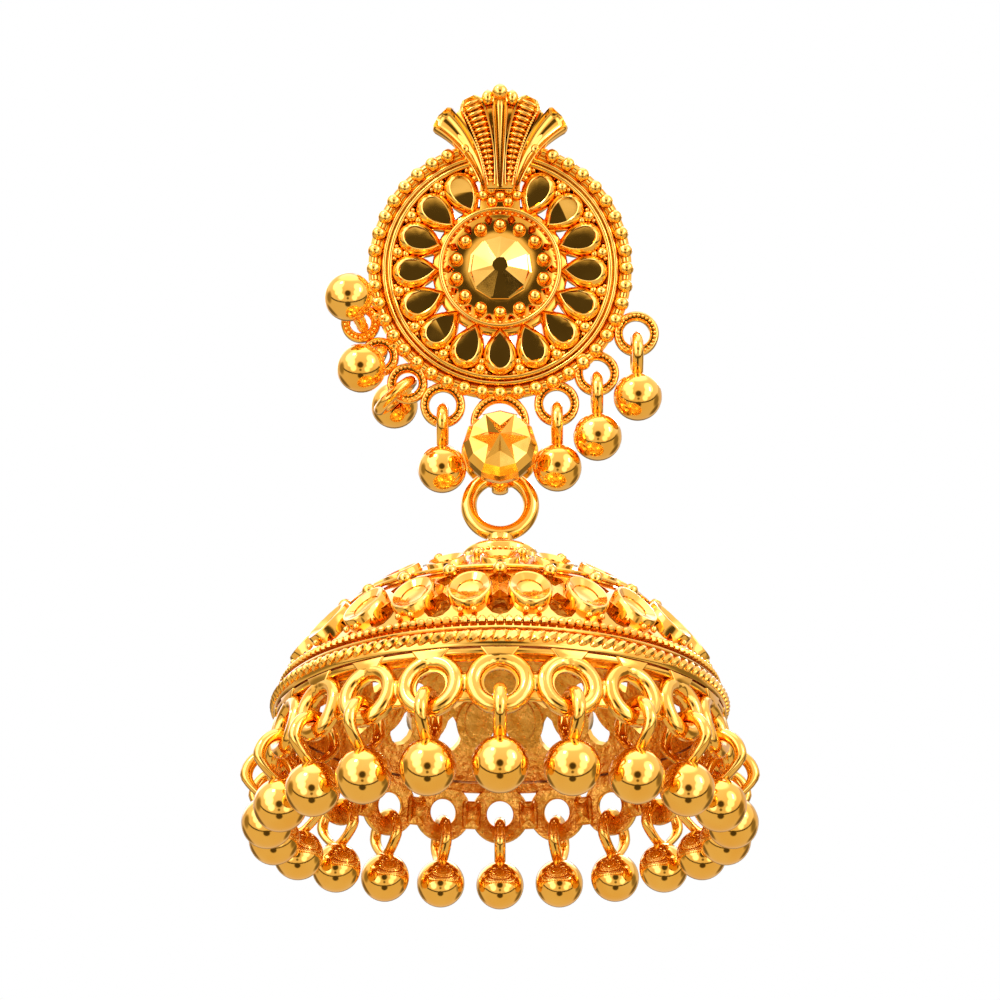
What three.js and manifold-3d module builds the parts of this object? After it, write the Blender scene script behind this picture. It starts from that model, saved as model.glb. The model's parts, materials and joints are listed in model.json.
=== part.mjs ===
// Jhumka earring: an openwork rosette on an ear post, a swinging link with a star-cut bead, and a
// domed bell with a skirt of loops and small gold drops. Millimetres, +Z up, the front faces -Y,
// and the origin is where the ear post leaves its back pad, against the lobe.

import * as THREE from 'three';
import { mergeVertices } from 'three/addons/utils/BufferGeometryUtils.js';
import Module from 'manifold-3d';

const wasm = await Module();
wasm.setup();

const TAU = Math.PI * 2;

// Hang: the weight of the bell tips the rosette forward.
const LEAN = THREE.MathUtils.degToRad(18);

// Rosette, in its own plane: x right, y up, z towards the viewer.
const PLATE_BACK = -0.45;
const RIM_INNER_R = 7.2;
const RIM_BEAD_R = 8.45;
const RIM_OUTER_R = 8.95;
const COLLAR_R = 4.1;
const COLLAR_WALL = 0.35;
const COLLAR_TOP = 0.8;
const CELL_COUNT = 15;
const CELL_STEP = THREE.MathUtils.degToRad(22);
const CELL_RING_R = 5.6;
const CELL_LENGTH = 3.3;
const CELL_WIDTH = 2.06;
const CELL_TOP = 0.7;
const POCKET_SCALE = 0.68;
const POCKET_FLOOR = 0.0;
const FACET_GAP = 0.1;
const FACET_TOP = 0.85;
const CENTRE_R = 2.3;

// Fan crown on the rosette's upper rim.
const CROWN_BACK = 0.1;
const CROWN_THICK = 1.2;
const CROWN_FOOT_Y = 5.5;
const CROWN_FOOT_HALF = 1.25;
// Right half of the fan's outline from the foot to the top: each row bends towards (bx, by) and
// ends at (x, y).
const CROWN_LOBES = [
  { bx: 1.7, by: 8.6, x: 4.45, y: 9.65 },
  { bx: 4.3, by: 10.3, x: 3.3, y: 10.6 },
  { bx: 2.9, by: 11.5, x: 1.9, y: 11.4 },
  { bx: 1.0, by: 11.9, x: 0, y: 11.7 },
];
const CROWN_BALL_R = 0.45;
const CROWN_BALL_Y = 12.0;

// Flat loops soldered round the rosette's lower rim: degrees from straight down, distance from the
// rosette's centre and outer radius.
const LOOP_WALL = 0.6;
const LOOP_DEPTH = 0.7;
const MIDDLE_LOOP_Y = -10.4;
const MIDDLE_LOOP_R = 1.96;
const SIDE_LOOPS = [
  { at: 22.5, out: 9.85, r: 1.5 },
  { at: 42.3, out: 9.55, r: 1.5 },
  { at: 64.2, out: 10.1, r: 1.5 },
  { at: -22.5, out: 9.95, r: 1.5 },
  { at: -38.5, out: 9.9, r: 1.35 },
  { at: -53.5, out: 10.0, r: 1.3 },
  { at: -68.5, out: 10.0, r: 1.3 },
];

// Ear post and its back pad.
const PAD_GAP = 0.2;
const PAD_THICK = 0.35;
const PAD_R = 2.6;
const POST_R = 0.45;
const POST_LENGTH = 10;

// Small gold drops: a hollow ball on a jump ring.
const BALL_R = 1.6;
const JUMP_R = 1.44;
const JUMP_WIRE_R = 0.36;
const JUMP_SLACK = 0.5;
const BALL_BELOW_JUMP = 2.85;

// Swinging link: an upright strap ring, a star-cut bead in front and a plain cap behind.
const LINK_INNER_HALF_Y = 0.85;
const LINK_WIRE = 0.55;
const LINK_WIDTH = 1.1;
const LINK_ABOVE = 0.6;
const LINK_SLACK = 0.2;
const RING_DROP = 2.05;
const STAR_R = 2.45;
const STAR_FORWARD = 3.1;
const STAR_DOWN = 1.45;
const CAP_R = 2.65;
const CAP_BACK = 2.0;
const CAP_UP = 0.55;
const CAP_THICK = 1.3;

// Bell. Its heights are measured from the centres of the skirt's loops. It sits a little back, so
// that it balances the bead and hangs plumb.
const BELL_BACK = 0.12;
const HANGER_R = 2.05;
const HANGER_WIRE_R = 0.52;
const HANGER_Z = 17.0;
const NECK_R = 1.4;
const NECK_Z = 14.1;
const FLARE_R = 2.85;
const FLARE_Z = 12.55;
const FLARE_BASE_Z = 12.3;
const DOME_OUTER = [
  { r: 0, z: 12.1 },
  { r: 2.8, z: 12.1 },
  { r: 4.8, z: 11.65 },
  { r: 7.0, z: 10.65 },
  { r: 9.3, z: 9.05 },
  { r: 11.3, z: 7.15 },
  { r: 12.8, z: 5.2 },
  { r: 13.5, z: 3.9 },
  { r: 13.9, z: 3.5 },
  { r: 14.15, z: 2.8 },
  { r: 14.15, z: 2.15 },
];
const DOME_INNER = [
  { r: 13.2, z: 2.15 },
  { r: 13.1, z: 3.3 },
  { r: 12.1, z: 5.0 },
  { r: 10.7, z: 6.7 },
  { r: 8.8, z: 8.5 },
  { r: 6.7, z: 10.0 },
  { r: 4.6, z: 10.95 },
  { r: 2.6, z: 11.4 },
  { r: 0, z: 11.4 },
];
// See-through gaps between the dome's cells: triangles, point up, cut square to the slope.
const WINDOW_COUNT = 22;
const WINDOW_R = 11.2;
const WINDOW_Z = 5.8;
const WINDOW_UP = 0.95;
const WINDOW_DOWN = 0.45;
const WINDOW_HALF = 0.75;
const WINDOW_SLOPE = THREE.MathUtils.degToRad(30);
const SKIRT_COUNT = 22;
const SKIRT_R = 13.9;
const SKIRT_LOOP_R = 1.5;
const SKIRT_WIRE_R = 0.46;
const SKIRT_FLARE = THREE.MathUtils.degToRad(10);
const SKIRT_BAND_Z = 1.6;
const SKIRT_BAND_TOP_Z = 1.95;
const BRIDGE_WIDTH = 1.0;
const BRIDGE_DEPTH = 0.5;
const BRIDGE_HEIGHT = 0.6;

function gold(hex, roughness) {
  return new THREE.MeshStandardMaterial({ color: hex, roughness, metalness: 1 });
}

function toSolid(geometry) {
  const plain = geometry.index ? geometry.toNonIndexed() : geometry.clone();
  plain.deleteAttribute('normal');
  plain.deleteAttribute('uv');
  const merged = mergeVertices(plain, 1e-5);
  return new wasm.Manifold(new wasm.Mesh({
    numProp: 3,
    vertProperties: new Float32Array(merged.attributes.position.array),
    triVerts: new Uint32Array(merged.index.array),
  }));
}

function toGeometry(solid) {
  const mesh = solid.getMesh();
  const geometry = new THREE.BufferGeometry();
  geometry.setAttribute('position', new THREE.BufferAttribute(new Float32Array(mesh.vertProperties), 3));
  geometry.setIndex(new THREE.BufferAttribute(new Uint32Array(mesh.triVerts), 1));
  geometry.computeVertexNormals();
  return geometry;
}

function joined(solids) {
  return solids.reduce((whole, next) => whole.add(next));
}

// A lathe turned about +Z: the profile is a list of [radius, height].
function turned(profile, segments) {
  const points = profile.map(([r, z]) => new THREE.Vector2(r, z));
  const geometry = new THREE.LatheGeometry(points, segments);
  geometry.rotateX(Math.PI / 2);
  return geometry;
}

function closedRing(profile, segments) {
  return turned([...profile, profile[0]], segments);
}

function placed(geometry, x, y, z) {
  geometry.translate(x, y, z);
  return geometry;
}

// ---- Rosette ----

function pearOutline(length, width) {
  const shape = new THREE.Shape();
  const round = width / 2;
  const shoulder = length / 2 - round;
  shape.moveTo(0, -length / 2);
  shape.quadraticCurveTo(round, -length * 0.2, round, shoulder);
  shape.absarc(0, shoulder, round, 0, Math.PI, false);
  shape.quadraticCurveTo(-round, -length * 0.2, 0, -length / 2);
  return shape;
}

function cellAngle(index) {
  return -Math.PI / 2 + (index - (CELL_COUNT - 1) / 2) * CELL_STEP;
}

function onCell(geometry, index) {
  const angle = cellAngle(index);
  geometry.rotateZ(angle - Math.PI / 2);
  return placed(geometry, CELL_RING_R * Math.cos(angle), CELL_RING_R * Math.sin(angle), 0);
}

function cellWall(index) {
  const outline = pearOutline(CELL_LENGTH, CELL_WIDTH);
  const wall = new THREE.ExtrudeGeometry(outline, {
    depth: CELL_TOP - PLATE_BACK, bevelEnabled: false, curveSegments: 3,
  });
  return toSolid(onCell(placed(wall, 0, 0, PLATE_BACK), index));
}

function cellPocket(index) {
  const outline = pearOutline(CELL_LENGTH * POCKET_SCALE + 0.1, CELL_WIDTH * POCKET_SCALE + 0.1);
  const pocket = new THREE.ExtrudeGeometry(outline, {
    depth: CELL_TOP - POCKET_FLOOR + 1, bevelEnabled: false, curveSegments: 3,
  });
  return toSolid(onCell(placed(pocket, 0, 0, POCKET_FLOOR), index));
}

function rimRing() {
  return toSolid(closedRing([
    [RIM_INNER_R, PLATE_BACK],
    [RIM_BEAD_R, PLATE_BACK],
    [RIM_OUTER_R, -0.2],
    [RIM_OUTER_R, 0.2],
    [RIM_BEAD_R, 0.55],
    [RIM_BEAD_R - 0.55, 0.25],
    [RIM_INNER_R + 0.1, 0.4],
  ], 32));
}

function collarCup() {
  return toSolid(turned([
    [0, PLATE_BACK],
    [COLLAR_R, PLATE_BACK],
    [COLLAR_R, COLLAR_TOP],
    [COLLAR_R - COLLAR_WALL, COLLAR_TOP],
    [COLLAR_R - COLLAR_WALL, 0],
    [0, 0],
  ], 24));
}

function crownFan() {
  const shape = new THREE.Shape();
  shape.moveTo(-CROWN_FOOT_HALF, CROWN_FOOT_Y);
  shape.lineTo(CROWN_FOOT_HALF, CROWN_FOOT_Y);
  for (const lobe of CROWN_LOBES) {
    shape.quadraticCurveTo(lobe.bx, lobe.by, lobe.x, lobe.y);
  }
  for (let i = CROWN_LOBES.length - 1; i >= 0; i--) {
    const end = i > 0 ? CROWN_LOBES[i - 1] : { x: CROWN_FOOT_HALF, y: CROWN_FOOT_Y };
    shape.quadraticCurveTo(-CROWN_LOBES[i].bx, CROWN_LOBES[i].by, -end.x, end.y);
  }
  const fan = new THREE.ExtrudeGeometry(shape, {
    depth: CROWN_THICK, bevelEnabled: false, curveSegments: 3,
  });
  const ball = new THREE.IcosahedronGeometry(CROWN_BALL_R, 1);
  const ballZ = CROWN_BACK + CROWN_THICK / 2;
  return toSolid(placed(fan, 0, 0, CROWN_BACK)).add(toSolid(placed(ball, 0, CROWN_BALL_Y, ballZ)));
}

function flatLoop(x, y, outer) {
  const shape = new THREE.Shape();
  shape.absarc(x, y, outer, 0, TAU, false);
  const hole = new THREE.Path();
  hole.absarc(x, y, outer - LOOP_WALL, 0, TAU, true);
  shape.holes.push(hole);
  const loop = new THREE.ExtrudeGeometry(shape, {
    depth: LOOP_DEPTH, bevelEnabled: false, curveSegments: 7,
  });
  return toSolid(placed(loop, 0, 0, -LOOP_DEPTH / 2));
}

function loopCentre(loop) {
  const angle = THREE.MathUtils.degToRad(loop.at);
  return new THREE.Vector3(loop.out * Math.sin(angle), -loop.out * Math.cos(angle), 0);
}

function rosetteFrame() {
  const solids = [rimRing(), collarCup()];
  for (let i = 0; i < CELL_COUNT; i++) {
    solids.push(cellWall(i));
  }
  let frame = joined(solids);
  for (let i = 0; i < CELL_COUNT; i++) {
    frame = frame.subtract(cellPocket(i));
  }
  frame = frame.add(crownFan()).add(flatLoop(0, MIDDLE_LOOP_Y, MIDDLE_LOOP_R));
  for (const loop of SIDE_LOOPS) {
    const centre = loopCentre(loop);
    frame = frame.add(flatLoop(centre.x, centre.y, loop.r));
  }
  return toGeometry(frame);
}

// A pear-shaped faceted stud: an upright girdle under a flat table with sloping sides.
function pearFacet(index) {
  const length = CELL_LENGTH * POCKET_SCALE + 0.1 - 2 * FACET_GAP;
  const width = CELL_WIDTH * POCKET_SCALE + 0.1 - 2 * FACET_GAP;
  const bevel = 0.25;
  const stud = new THREE.ExtrudeGeometry(pearOutline(length - 2 * bevel, width - 2 * bevel), {
    depth: 0.25, bevelEnabled: true, bevelThickness: bevel, bevelSize: bevel, bevelSegments: 1, curveSegments: 3,
  });
  return onCell(placed(stud, 0, 0, FACET_TOP - 0.25 - bevel), index);
}

function centreFacet() {
  return turned([
    [0, 0.15],
    [CENTRE_R, 0.15],
    [CENTRE_R, 0.4],
    [2.04, 0.55],
    [1.6, 1.25],
    [0.6, 1.75],
    [0, 1.75],
  ], 12);
}

function earPost() {
  return turned([
    [0, -POST_LENGTH],
    [POST_R * 0.6, -POST_LENGTH],
    [POST_R, -POST_LENGTH + 0.4],
    [POST_R, 0],
    [PAD_R, 0],
    [PAD_R, PAD_THICK],
    [0, PAD_THICK],
  ], 32);
}

// ---- Drops ----

// A drop whose jump ring is hooked round a wire at `hook`. `hang` points from the wire to the
// ball, and `along` is the wire's own direction there.
function dropGeometry(hook, hang, along) {
  const down = hang.clone().normalize();
  const axis = along.clone().addScaledVector(down, -along.dot(down)).normalize();
  const side = new THREE.Vector3().crossVectors(axis, down);
  const turn = new THREE.Matrix4().makeBasis(down, side, axis);
  const jump = new THREE.TorusGeometry(JUMP_R, JUMP_WIRE_R, 4, 9);
  jump.translate(JUMP_SLACK, 0, 0);
  const ball = new THREE.IcosahedronGeometry(BALL_R, 1);
  ball.translate(JUMP_SLACK + BALL_BELOW_JUMP, 0, 0);
  const drop = toGeometry(toSolid(jump).add(toSolid(ball)));
  drop.applyMatrix4(turn);
  return placed(drop, hook.x, hook.y, hook.z);
}

// ---- Link ----

function starLink() {
  const bottom = -RING_DROP - HANGER_WIRE_R - LINK_SLACK;
  const height = LINK_ABOVE - bottom;
  const round = LINK_INNER_HALF_Y;
  const strap = (grow) => {
    const shape = new THREE.Shape();
    shape.absarc(0, bottom + round, round + grow, Math.PI, TAU, false);
    shape.absarc(0, bottom + height - round, round + grow, 0, Math.PI, false);
    return shape;
  };
  const outline = strap(LINK_WIRE);
  outline.holes.push(strap(0));
  const band = new THREE.ExtrudeGeometry(outline, {
    depth: LINK_WIDTH, bevelEnabled: false, curveSegments: 7,
  });
  band.translate(0, 0, -LINK_WIDTH / 2);
  // The outline's x becomes the world's y, and its y becomes the world's z.
  band.applyMatrix4(new THREE.Matrix4().makeBasis(
    new THREE.Vector3(0, 1, 0), new THREE.Vector3(0, 0, 1), new THREE.Vector3(1, 0, 0),
  ));
  const bead = new THREE.SphereGeometry(STAR_R, 12, 8);
  bead.rotateX(Math.PI / 2);
  bead.translate(0, -STAR_FORWARD, -STAR_DOWN);
  const cap = turned([
    [0, 0],
    [CAP_R * 0.6, 0],
    [CAP_R, CAP_THICK * 0.35],
    [CAP_R * 0.8, CAP_THICK * 0.8],
    [CAP_R * 0.35, CAP_THICK],
    [0, CAP_THICK],
  ], 16);
  cap.rotateX(-Math.PI / 2);
  cap.translate(0, CAP_BACK - CAP_THICK / 2, CAP_UP);
  // The bead is hollowed behind so that the link's opening and the loop in it stay clear.
  const seatHalf = LINK_INNER_HALF_Y + LINK_WIRE * 0.5;
  const seat = new THREE.BoxGeometry(8, 2 * seatHalf, 12);
  const front = toSolid(bead).subtract(toSolid(seat));
  const behind = toSolid(cap).subtract(toSolid(seat.clone()));
  return toGeometry(joined([toSolid(band), front, behind]));
}

// ---- Bell ----

function bellHanger() {
  const ring = new THREE.TorusGeometry(HANGER_R, HANGER_WIRE_R, 8, 18);
  ring.rotateX(Math.PI / 2);
  ring.translate(0, 0, HANGER_Z);
  const collar = turned([
    [0, FLARE_BASE_Z],
    [FLARE_R - 0.1, FLARE_BASE_Z],
    [FLARE_R, FLARE_Z],
    [FLARE_R - 0.5, FLARE_Z + 0.45],
    [NECK_R + 0.15, NECK_Z - 0.55],
    [NECK_R, NECK_Z],
    [NECK_R - 0.5, HANGER_Z - HANGER_R - HANGER_WIRE_R + 0.45],
    [0, HANGER_Z - HANGER_R - HANGER_WIRE_R + 0.45],
  ], 16);
  return toGeometry(toSolid(ring).add(toSolid(collar)));
}

function domeShell() {
  const profile = [...DOME_OUTER, ...DOME_INNER].reverse();
  return toSolid(turned(profile.map(({ r, z }) => [r, z]), 36));
}

function domeWindow(index) {
  const shape = new THREE.Shape();
  shape.moveTo(0, WINDOW_UP);
  shape.lineTo(-WINDOW_HALF, -WINDOW_DOWN);
  shape.lineTo(WINDOW_HALF, -WINDOW_DOWN);
  const cutter = new THREE.ExtrudeGeometry(shape, { depth: 3, bevelEnabled: false });
  cutter.rotateX(Math.PI / 2);
  cutter.rotateX(-WINDOW_SLOPE);
  cutter.translate(0, -WINDOW_R, WINDOW_Z);
  cutter.rotateZ(index * TAU / WINDOW_COUNT);
  return toSolid(cutter);
}

function bellDome() {
  let dome = domeShell();
  for (let i = 0; i < WINDOW_COUNT; i++) {
    dome = dome.subtract(domeWindow(i));
  }
  return toGeometry(dome);
}

function skirtAngle(index) {
  return -Math.PI / 2 + index * TAU / SKIRT_COUNT;
}

function skirtLoop(index) {
  const loop = new THREE.TorusGeometry(SKIRT_LOOP_R, SKIRT_WIRE_R, 5, 10);
  loop.rotateX(Math.PI / 2);
  loop.rotateX(-SKIRT_FLARE);
  loop.translate(0, -SKIRT_R, 0);
  loop.rotateZ(skirtAngle(index) + Math.PI / 2);
  return toSolid(loop);
}

function bellSkirt() {
  const band = toSolid(closedRing([
    [SKIRT_R - 0.5, SKIRT_BAND_Z],
    [SKIRT_R + 0.1, SKIRT_BAND_Z],
    [SKIRT_R + 0.1, SKIRT_BAND_TOP_Z],
    [SKIRT_R - 0.5, SKIRT_BAND_TOP_Z],
  ], SKIRT_COUNT));
  let skirt = band;
  for (let i = 0; i < SKIRT_COUNT; i++) {
    skirt = skirt.add(skirtLoop(i));
  }
  const bridgeR = SKIRT_R * Math.cos(Math.PI / SKIRT_COUNT);
  for (let i = 0; i < SKIRT_COUNT; i++) {
    const bridge = new THREE.BoxGeometry(BRIDGE_WIDTH, BRIDGE_DEPTH, BRIDGE_HEIGHT);
    bridge.translate(0, -bridgeR, 0);
    bridge.rotateZ(skirtAngle(i + 0.5) + Math.PI / 2);
    skirt = skirt.add(toSolid(bridge));
  }
  return toGeometry(skirt);
}

// ---- Assembly ----

const goldPolished = () => gold(0xe9a91f, 0.18);
const group = new THREE.Group();

function addPiece(parent, name, geometry, material) {
  const mesh = new THREE.Mesh(geometry, material);
  mesh.name = name;
  parent.add(mesh);
  return mesh;
}

function numbered(name, index) {
  return `${name}_${String(index + 1).padStart(2, '0')}`;
}

// The rosette's plane leans; its origin is the rosette's centre in the middle of the plate.
const rosette = new THREE.Group();
rosette.rotation.x = Math.PI / 2 + LEAN;
const padFace = PLATE_BACK - PAD_GAP - PAD_THICK;
rosette.position.set(0, padFace * Math.cos(LEAN), padFace * Math.sin(LEAN));
rosette.updateMatrixWorld(true);
group.add(rosette);

addPiece(rosette, 'rosette_frame', rosetteFrame(), goldPolished());
for (let i = 0; i < CELL_COUNT; i++) {
  addPiece(rosette, numbered('pear_facet', i), pearFacet(i), gold(0x9a5f12, 0.12));
}
addPiece(rosette, 'centre_facet', centreFacet(), gold(0xd8981c, 0.12));
const post = addPiece(rosette, 'ear_post', earPost(), gold(0xd9a032, 0.3));
post.position.z = padFace;

// Drops on the rosette hang plumb, but for the three left ones that lie over on their loops.
const plumb = new THREE.Vector3(0, -Math.cos(LEAN), Math.sin(LEAN));
function loopHook(loop, outward) {
  const wallR = loop.r - LOOP_WALL / 2;
  return loopCentre(loop).addScaledVector(outward, wallR);
}
const hanging = [0, 1, 2, 3];
hanging.forEach((loopIndex, i) => {
  const hook = loopHook(SIDE_LOOPS[loopIndex], new THREE.Vector3(0, -1, 0));
  const drop = dropGeometry(hook, plumb, new THREE.Vector3(1, 0, 0));
  addPiece(rosette, numbered('rosette_drop', i), drop, goldPolished());
});
const FLOPPED = [
  { loop: 6, outward: [-0.46, 0.888], tilt: 86 },
  { loop: 5, outward: [-0.6, -0.8], tilt: 79 },
  { loop: 4, outward: [-0.74, -0.673], tilt: -84 },
];
FLOPPED.forEach(({ loop, outward, tilt }, i) => {
  const out = new THREE.Vector3(outward[0], outward[1], 0).normalize();
  const along = new THREE.Vector3(-out.y, out.x, 0);
  const angle = THREE.MathUtils.degToRad(tilt);
  const hang = out.clone().multiplyScalar(Math.cos(angle)).add(new THREE.Vector3(0, 0, Math.sin(angle)));
  const drop = dropGeometry(loopHook(SIDE_LOOPS[loop], out), hang, along);
  addPiece(rosette, numbered('rosette_drop', hanging.length + i), drop, goldPolished());
});

// The link and the bell hang plumb from the bottom of the middle loop.
const pivot = new THREE.Vector3(0, MIDDLE_LOOP_Y - MIDDLE_LOOP_R + LOOP_WALL / 2, 0);
rosette.localToWorld(pivot);
const link = addPiece(group, 'star_link', starLink(), goldPolished());
link.position.copy(pivot);

const bell = new THREE.Group();
bell.position.set(0, pivot.y + BELL_BACK, pivot.z - RING_DROP - HANGER_R - HANGER_Z);
group.add(bell);
addPiece(bell, 'bell_hanger', bellHanger(), goldPolished());
addPiece(bell, 'bell_dome', bellDome(), goldPolished());
addPiece(bell, 'bell_skirt', bellSkirt(), goldPolished());
const hookR = SKIRT_R + SKIRT_LOOP_R * Math.sin(SKIRT_FLARE);
const hookZ = -SKIRT_LOOP_R * Math.cos(SKIRT_FLARE);
for (let i = 0; i < SKIRT_COUNT; i++) {
  const angle = skirtAngle(i);
  const hook = new THREE.Vector3(hookR * Math.cos(angle), hookR * Math.sin(angle), hookZ);
  const along = new THREE.Vector3(-Math.sin(angle), Math.cos(angle), 0);
  const drop = dropGeometry(hook, new THREE.Vector3(0, 0, -1), along);
  addPiece(bell, numbered('bell_drop', i), drop, goldPolished());
}

export default group;
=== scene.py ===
import json
import math
import random
from contextlib import contextmanager

import bmesh
import bpy
from bpy.props import FloatProperty, FloatVectorProperty, IntProperty, PointerProperty
from bpy.types import Operator, Panel, PropertyGroup
from mathutils import Matrix, Vector


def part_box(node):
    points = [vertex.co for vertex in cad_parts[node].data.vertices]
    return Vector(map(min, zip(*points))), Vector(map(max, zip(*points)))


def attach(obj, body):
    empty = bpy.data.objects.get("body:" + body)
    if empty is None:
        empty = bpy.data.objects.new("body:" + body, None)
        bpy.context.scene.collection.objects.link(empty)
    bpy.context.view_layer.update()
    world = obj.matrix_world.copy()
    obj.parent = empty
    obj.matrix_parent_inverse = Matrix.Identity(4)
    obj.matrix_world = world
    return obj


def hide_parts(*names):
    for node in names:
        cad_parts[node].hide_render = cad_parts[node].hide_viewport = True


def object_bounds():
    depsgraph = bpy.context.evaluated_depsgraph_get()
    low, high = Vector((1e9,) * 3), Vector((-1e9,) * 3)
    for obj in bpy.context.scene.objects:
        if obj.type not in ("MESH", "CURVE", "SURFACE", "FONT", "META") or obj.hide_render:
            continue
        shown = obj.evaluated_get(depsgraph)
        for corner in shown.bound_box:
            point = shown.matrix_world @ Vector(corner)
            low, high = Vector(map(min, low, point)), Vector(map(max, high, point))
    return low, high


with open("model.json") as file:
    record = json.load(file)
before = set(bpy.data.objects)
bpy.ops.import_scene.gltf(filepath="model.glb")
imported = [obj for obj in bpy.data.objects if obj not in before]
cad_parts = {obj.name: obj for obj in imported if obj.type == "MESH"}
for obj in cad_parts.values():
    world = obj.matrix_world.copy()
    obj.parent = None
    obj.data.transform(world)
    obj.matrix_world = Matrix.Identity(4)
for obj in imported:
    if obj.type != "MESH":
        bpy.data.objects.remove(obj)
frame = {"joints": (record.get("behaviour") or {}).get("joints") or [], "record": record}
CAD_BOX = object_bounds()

bl_info = {
    "name": "Jhumka Earring",
    "version": (1, 0, 0),
    "blender": (4, 5, 0),
    "location": "View3D > Sidebar > Jhumka",
    "description": "Models a gold jhumka earring round its packed frame",
    "category": "Add Mesh",
}

# Pieces are modelled on a bench in millimetres and set into the frame, in metres, when they are done.
MM = 0.001
TAU = math.tau

# ---- Places taken from the frame ----

MOUNTS = {m["name"]: m for m in frame["record"]["mounts"]}
JOINTS = {j["name"]: j for j in frame["joints"]}
POST_AXIS = Vector(MOUNTS["ear_post"]["axis"])
PAD_TO_PLATE = 1.0


def axes(x, y, z):
    """The turn that takes the three axes to those directions."""
    return Matrix((x, y, z)).transposed().to_4x4()


def bench(origin, right, up, towards):
    """The matrix that sets a bench in millimetres into the frame, in metres."""
    return Matrix.Translation(origin) @ axes(right, up, towards) @ Matrix.Scale(MM, 4)


def rosette_bench():
    """x right, y up and z towards the viewer, from the middle of the rosette's plate."""
    towards = -POST_AXIS
    right = Vector((1, 0, 0))
    return bench(towards * PAD_TO_PLATE * MM, right, towards.cross(right), towards)


def upright_bench(origin):
    """x right, y back and z up."""
    return bench(origin, Vector((1, 0, 0)), Vector((0, 1, 0)), Vector((0, 0, 1)))


def bell_bench():
    """Upright, on the bell's axis at the height of the skirt loops' centres."""
    low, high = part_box("bell_dome")
    middle = (low + high) / 2
    return upright_bench(Vector((middle.x, middle.y, low.z - DOME_FOOT_Z * MM)))


# ---- Shapes that the pieces share, in millimetres ----

CELL_COUNT = 15
CELL_STEP = math.radians(22)
CELL_RING_R = 5.6
CELL_LENGTH = 3.3
CELL_WIDTH = 2.32
PLATE_BACK = -0.45
RIM_BEAD_R = 8.45
COLLAR_R = 4.1

LOOP_WALL = 0.6
MIDDLE_LOOP = (0.0, -10.4, 1.96)
# Side loops: degrees from straight down, distance from the rosette's centre, outer radius.
SIDE_LOOPS = [
    (22.5, 9.85, 1.5),
    (42.3, 9.55, 1.5),
    (64.2, 10.1, 1.5),
    (-22.5, 9.95, 1.5),
    (-38.5, 9.9, 1.35),
    (-53.5, 10.0, 1.3),
    (-68.5, 10.0, 1.3),
]
HANGING_DROPS = [0, 1, 2, 3]
# Drops that lie over on their loops: the loop, the way out of it, and the tilt off the plate in degrees.
FLOPPED_DROPS = [(6, (-0.46, 0.888), 86), (5, (-0.6, -0.8), 79), (4, (-0.74, -0.673), -84)]

JUMP_SLACK = 0.5
BALL_BELOW_JUMP = 2.85

DOME_FOOT_Z = 2.15
DOME_CELLS = 22
CROWN_CELLS = 16
SKIRT_COUNT = 22
SKIRT_R = 13.9
SKIRT_LOOP_R = 1.5
SKIRT_WIRE_R = 0.49
SKIRT_FLARE = math.radians(10)
# Neighbouring loops meet half a step round, a little inside the loops' own ring.
HALF_LOOP_STEP = math.pi / SKIRT_COUNT
WAIST_R = SKIRT_R * math.cos(HALF_LOOP_STEP)
HANGER_Z = 17.0
HANGER_R = 2.05
HANGER_WIRE_R = 0.52


# ---- Bench tools ----


def clear_selection():
    bpy.ops.object.select_all(action="DESELECT")


def choose(obj):
    """Makes one object the only chosen and active one."""
    clear_selection()
    obj.select_set(True)
    bpy.context.view_layer.objects.active = obj


@contextmanager
def editing(obj, mode="VERT", start="DESELECT"):
    """Edit mode on one object, with nothing selected at the start, or everything with SELECT."""
    choose(obj)
    bpy.ops.object.mode_set(mode="EDIT")
    bpy.ops.mesh.select_mode(type=mode)
    bpy.ops.mesh.select_all(action=start)
    yield
    bpy.ops.object.mode_set(mode="OBJECT")


def pick(rule, kind="verts"):
    """Selects the vertices, edges or faces that the rule accepts, and nothing else."""
    mesh = bpy.context.edit_object.data
    model = bmesh.from_edit_mesh(mesh)
    bpy.ops.mesh.select_all(action="DESELECT")
    for part in getattr(model, kind):
        if rule(part):
            part.select_set(True)
    bmesh.update_edit_mesh(mesh)


def grow(move=(0, 0, 0), size=(1, 1, 1), about=(0, 0, 0)):
    """Extrudes what is selected, then moves and resizes the new end."""
    bpy.ops.mesh.extrude_region_move(TRANSFORM_OT_translate={"value": move})
    if size != (1, 1, 1):
        bpy.ops.transform.resize(value=size, center_override=about)


def started(primitive, **options):
    """Adds a primitive with its place in its mesh."""
    clear_selection()
    primitive(**options)
    obj = bpy.context.object
    bpy.ops.object.transform_apply(location=True, rotation=True, scale=True)
    return obj


def warp(obj, rule):
    """Moves each vertex where the rule says."""
    for vertex in obj.data.vertices:
        vertex.co = rule(vertex.co.copy())
    return obj


def tidy_mesh(obj, gap=1e-4):
    """Merges doubled vertices and turns every face outwards."""
    with editing(obj, start="SELECT"):
        bpy.ops.mesh.remove_doubles(threshold=gap)
        bpy.ops.mesh.normals_make_consistent(inside=False)
    return obj


def turned(profile, steps, closed=False):
    """Draws (radius, height) point by point and spins it about the bench's upright axis."""
    obj = started(bpy.ops.mesh.primitive_plane_add, size=1)
    points = [Vector((r, 0, z)) for r, z in profile]
    if closed:
        points.append(points[0])
    with editing(obj, start="SELECT"):
        bpy.ops.mesh.merge(type="CENTER")
        bpy.ops.transform.translate(value=points[0])
        for here, there in zip(points, points[1:]):
            grow(move=there - here)
        bpy.ops.mesh.select_all(action="SELECT")
        bpy.ops.mesh.spin(steps=steps, angle=TAU, center=(0, 0, 0), axis=(0, 0, 1))
    return tidy_mesh(obj, 1e-3)


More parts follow.
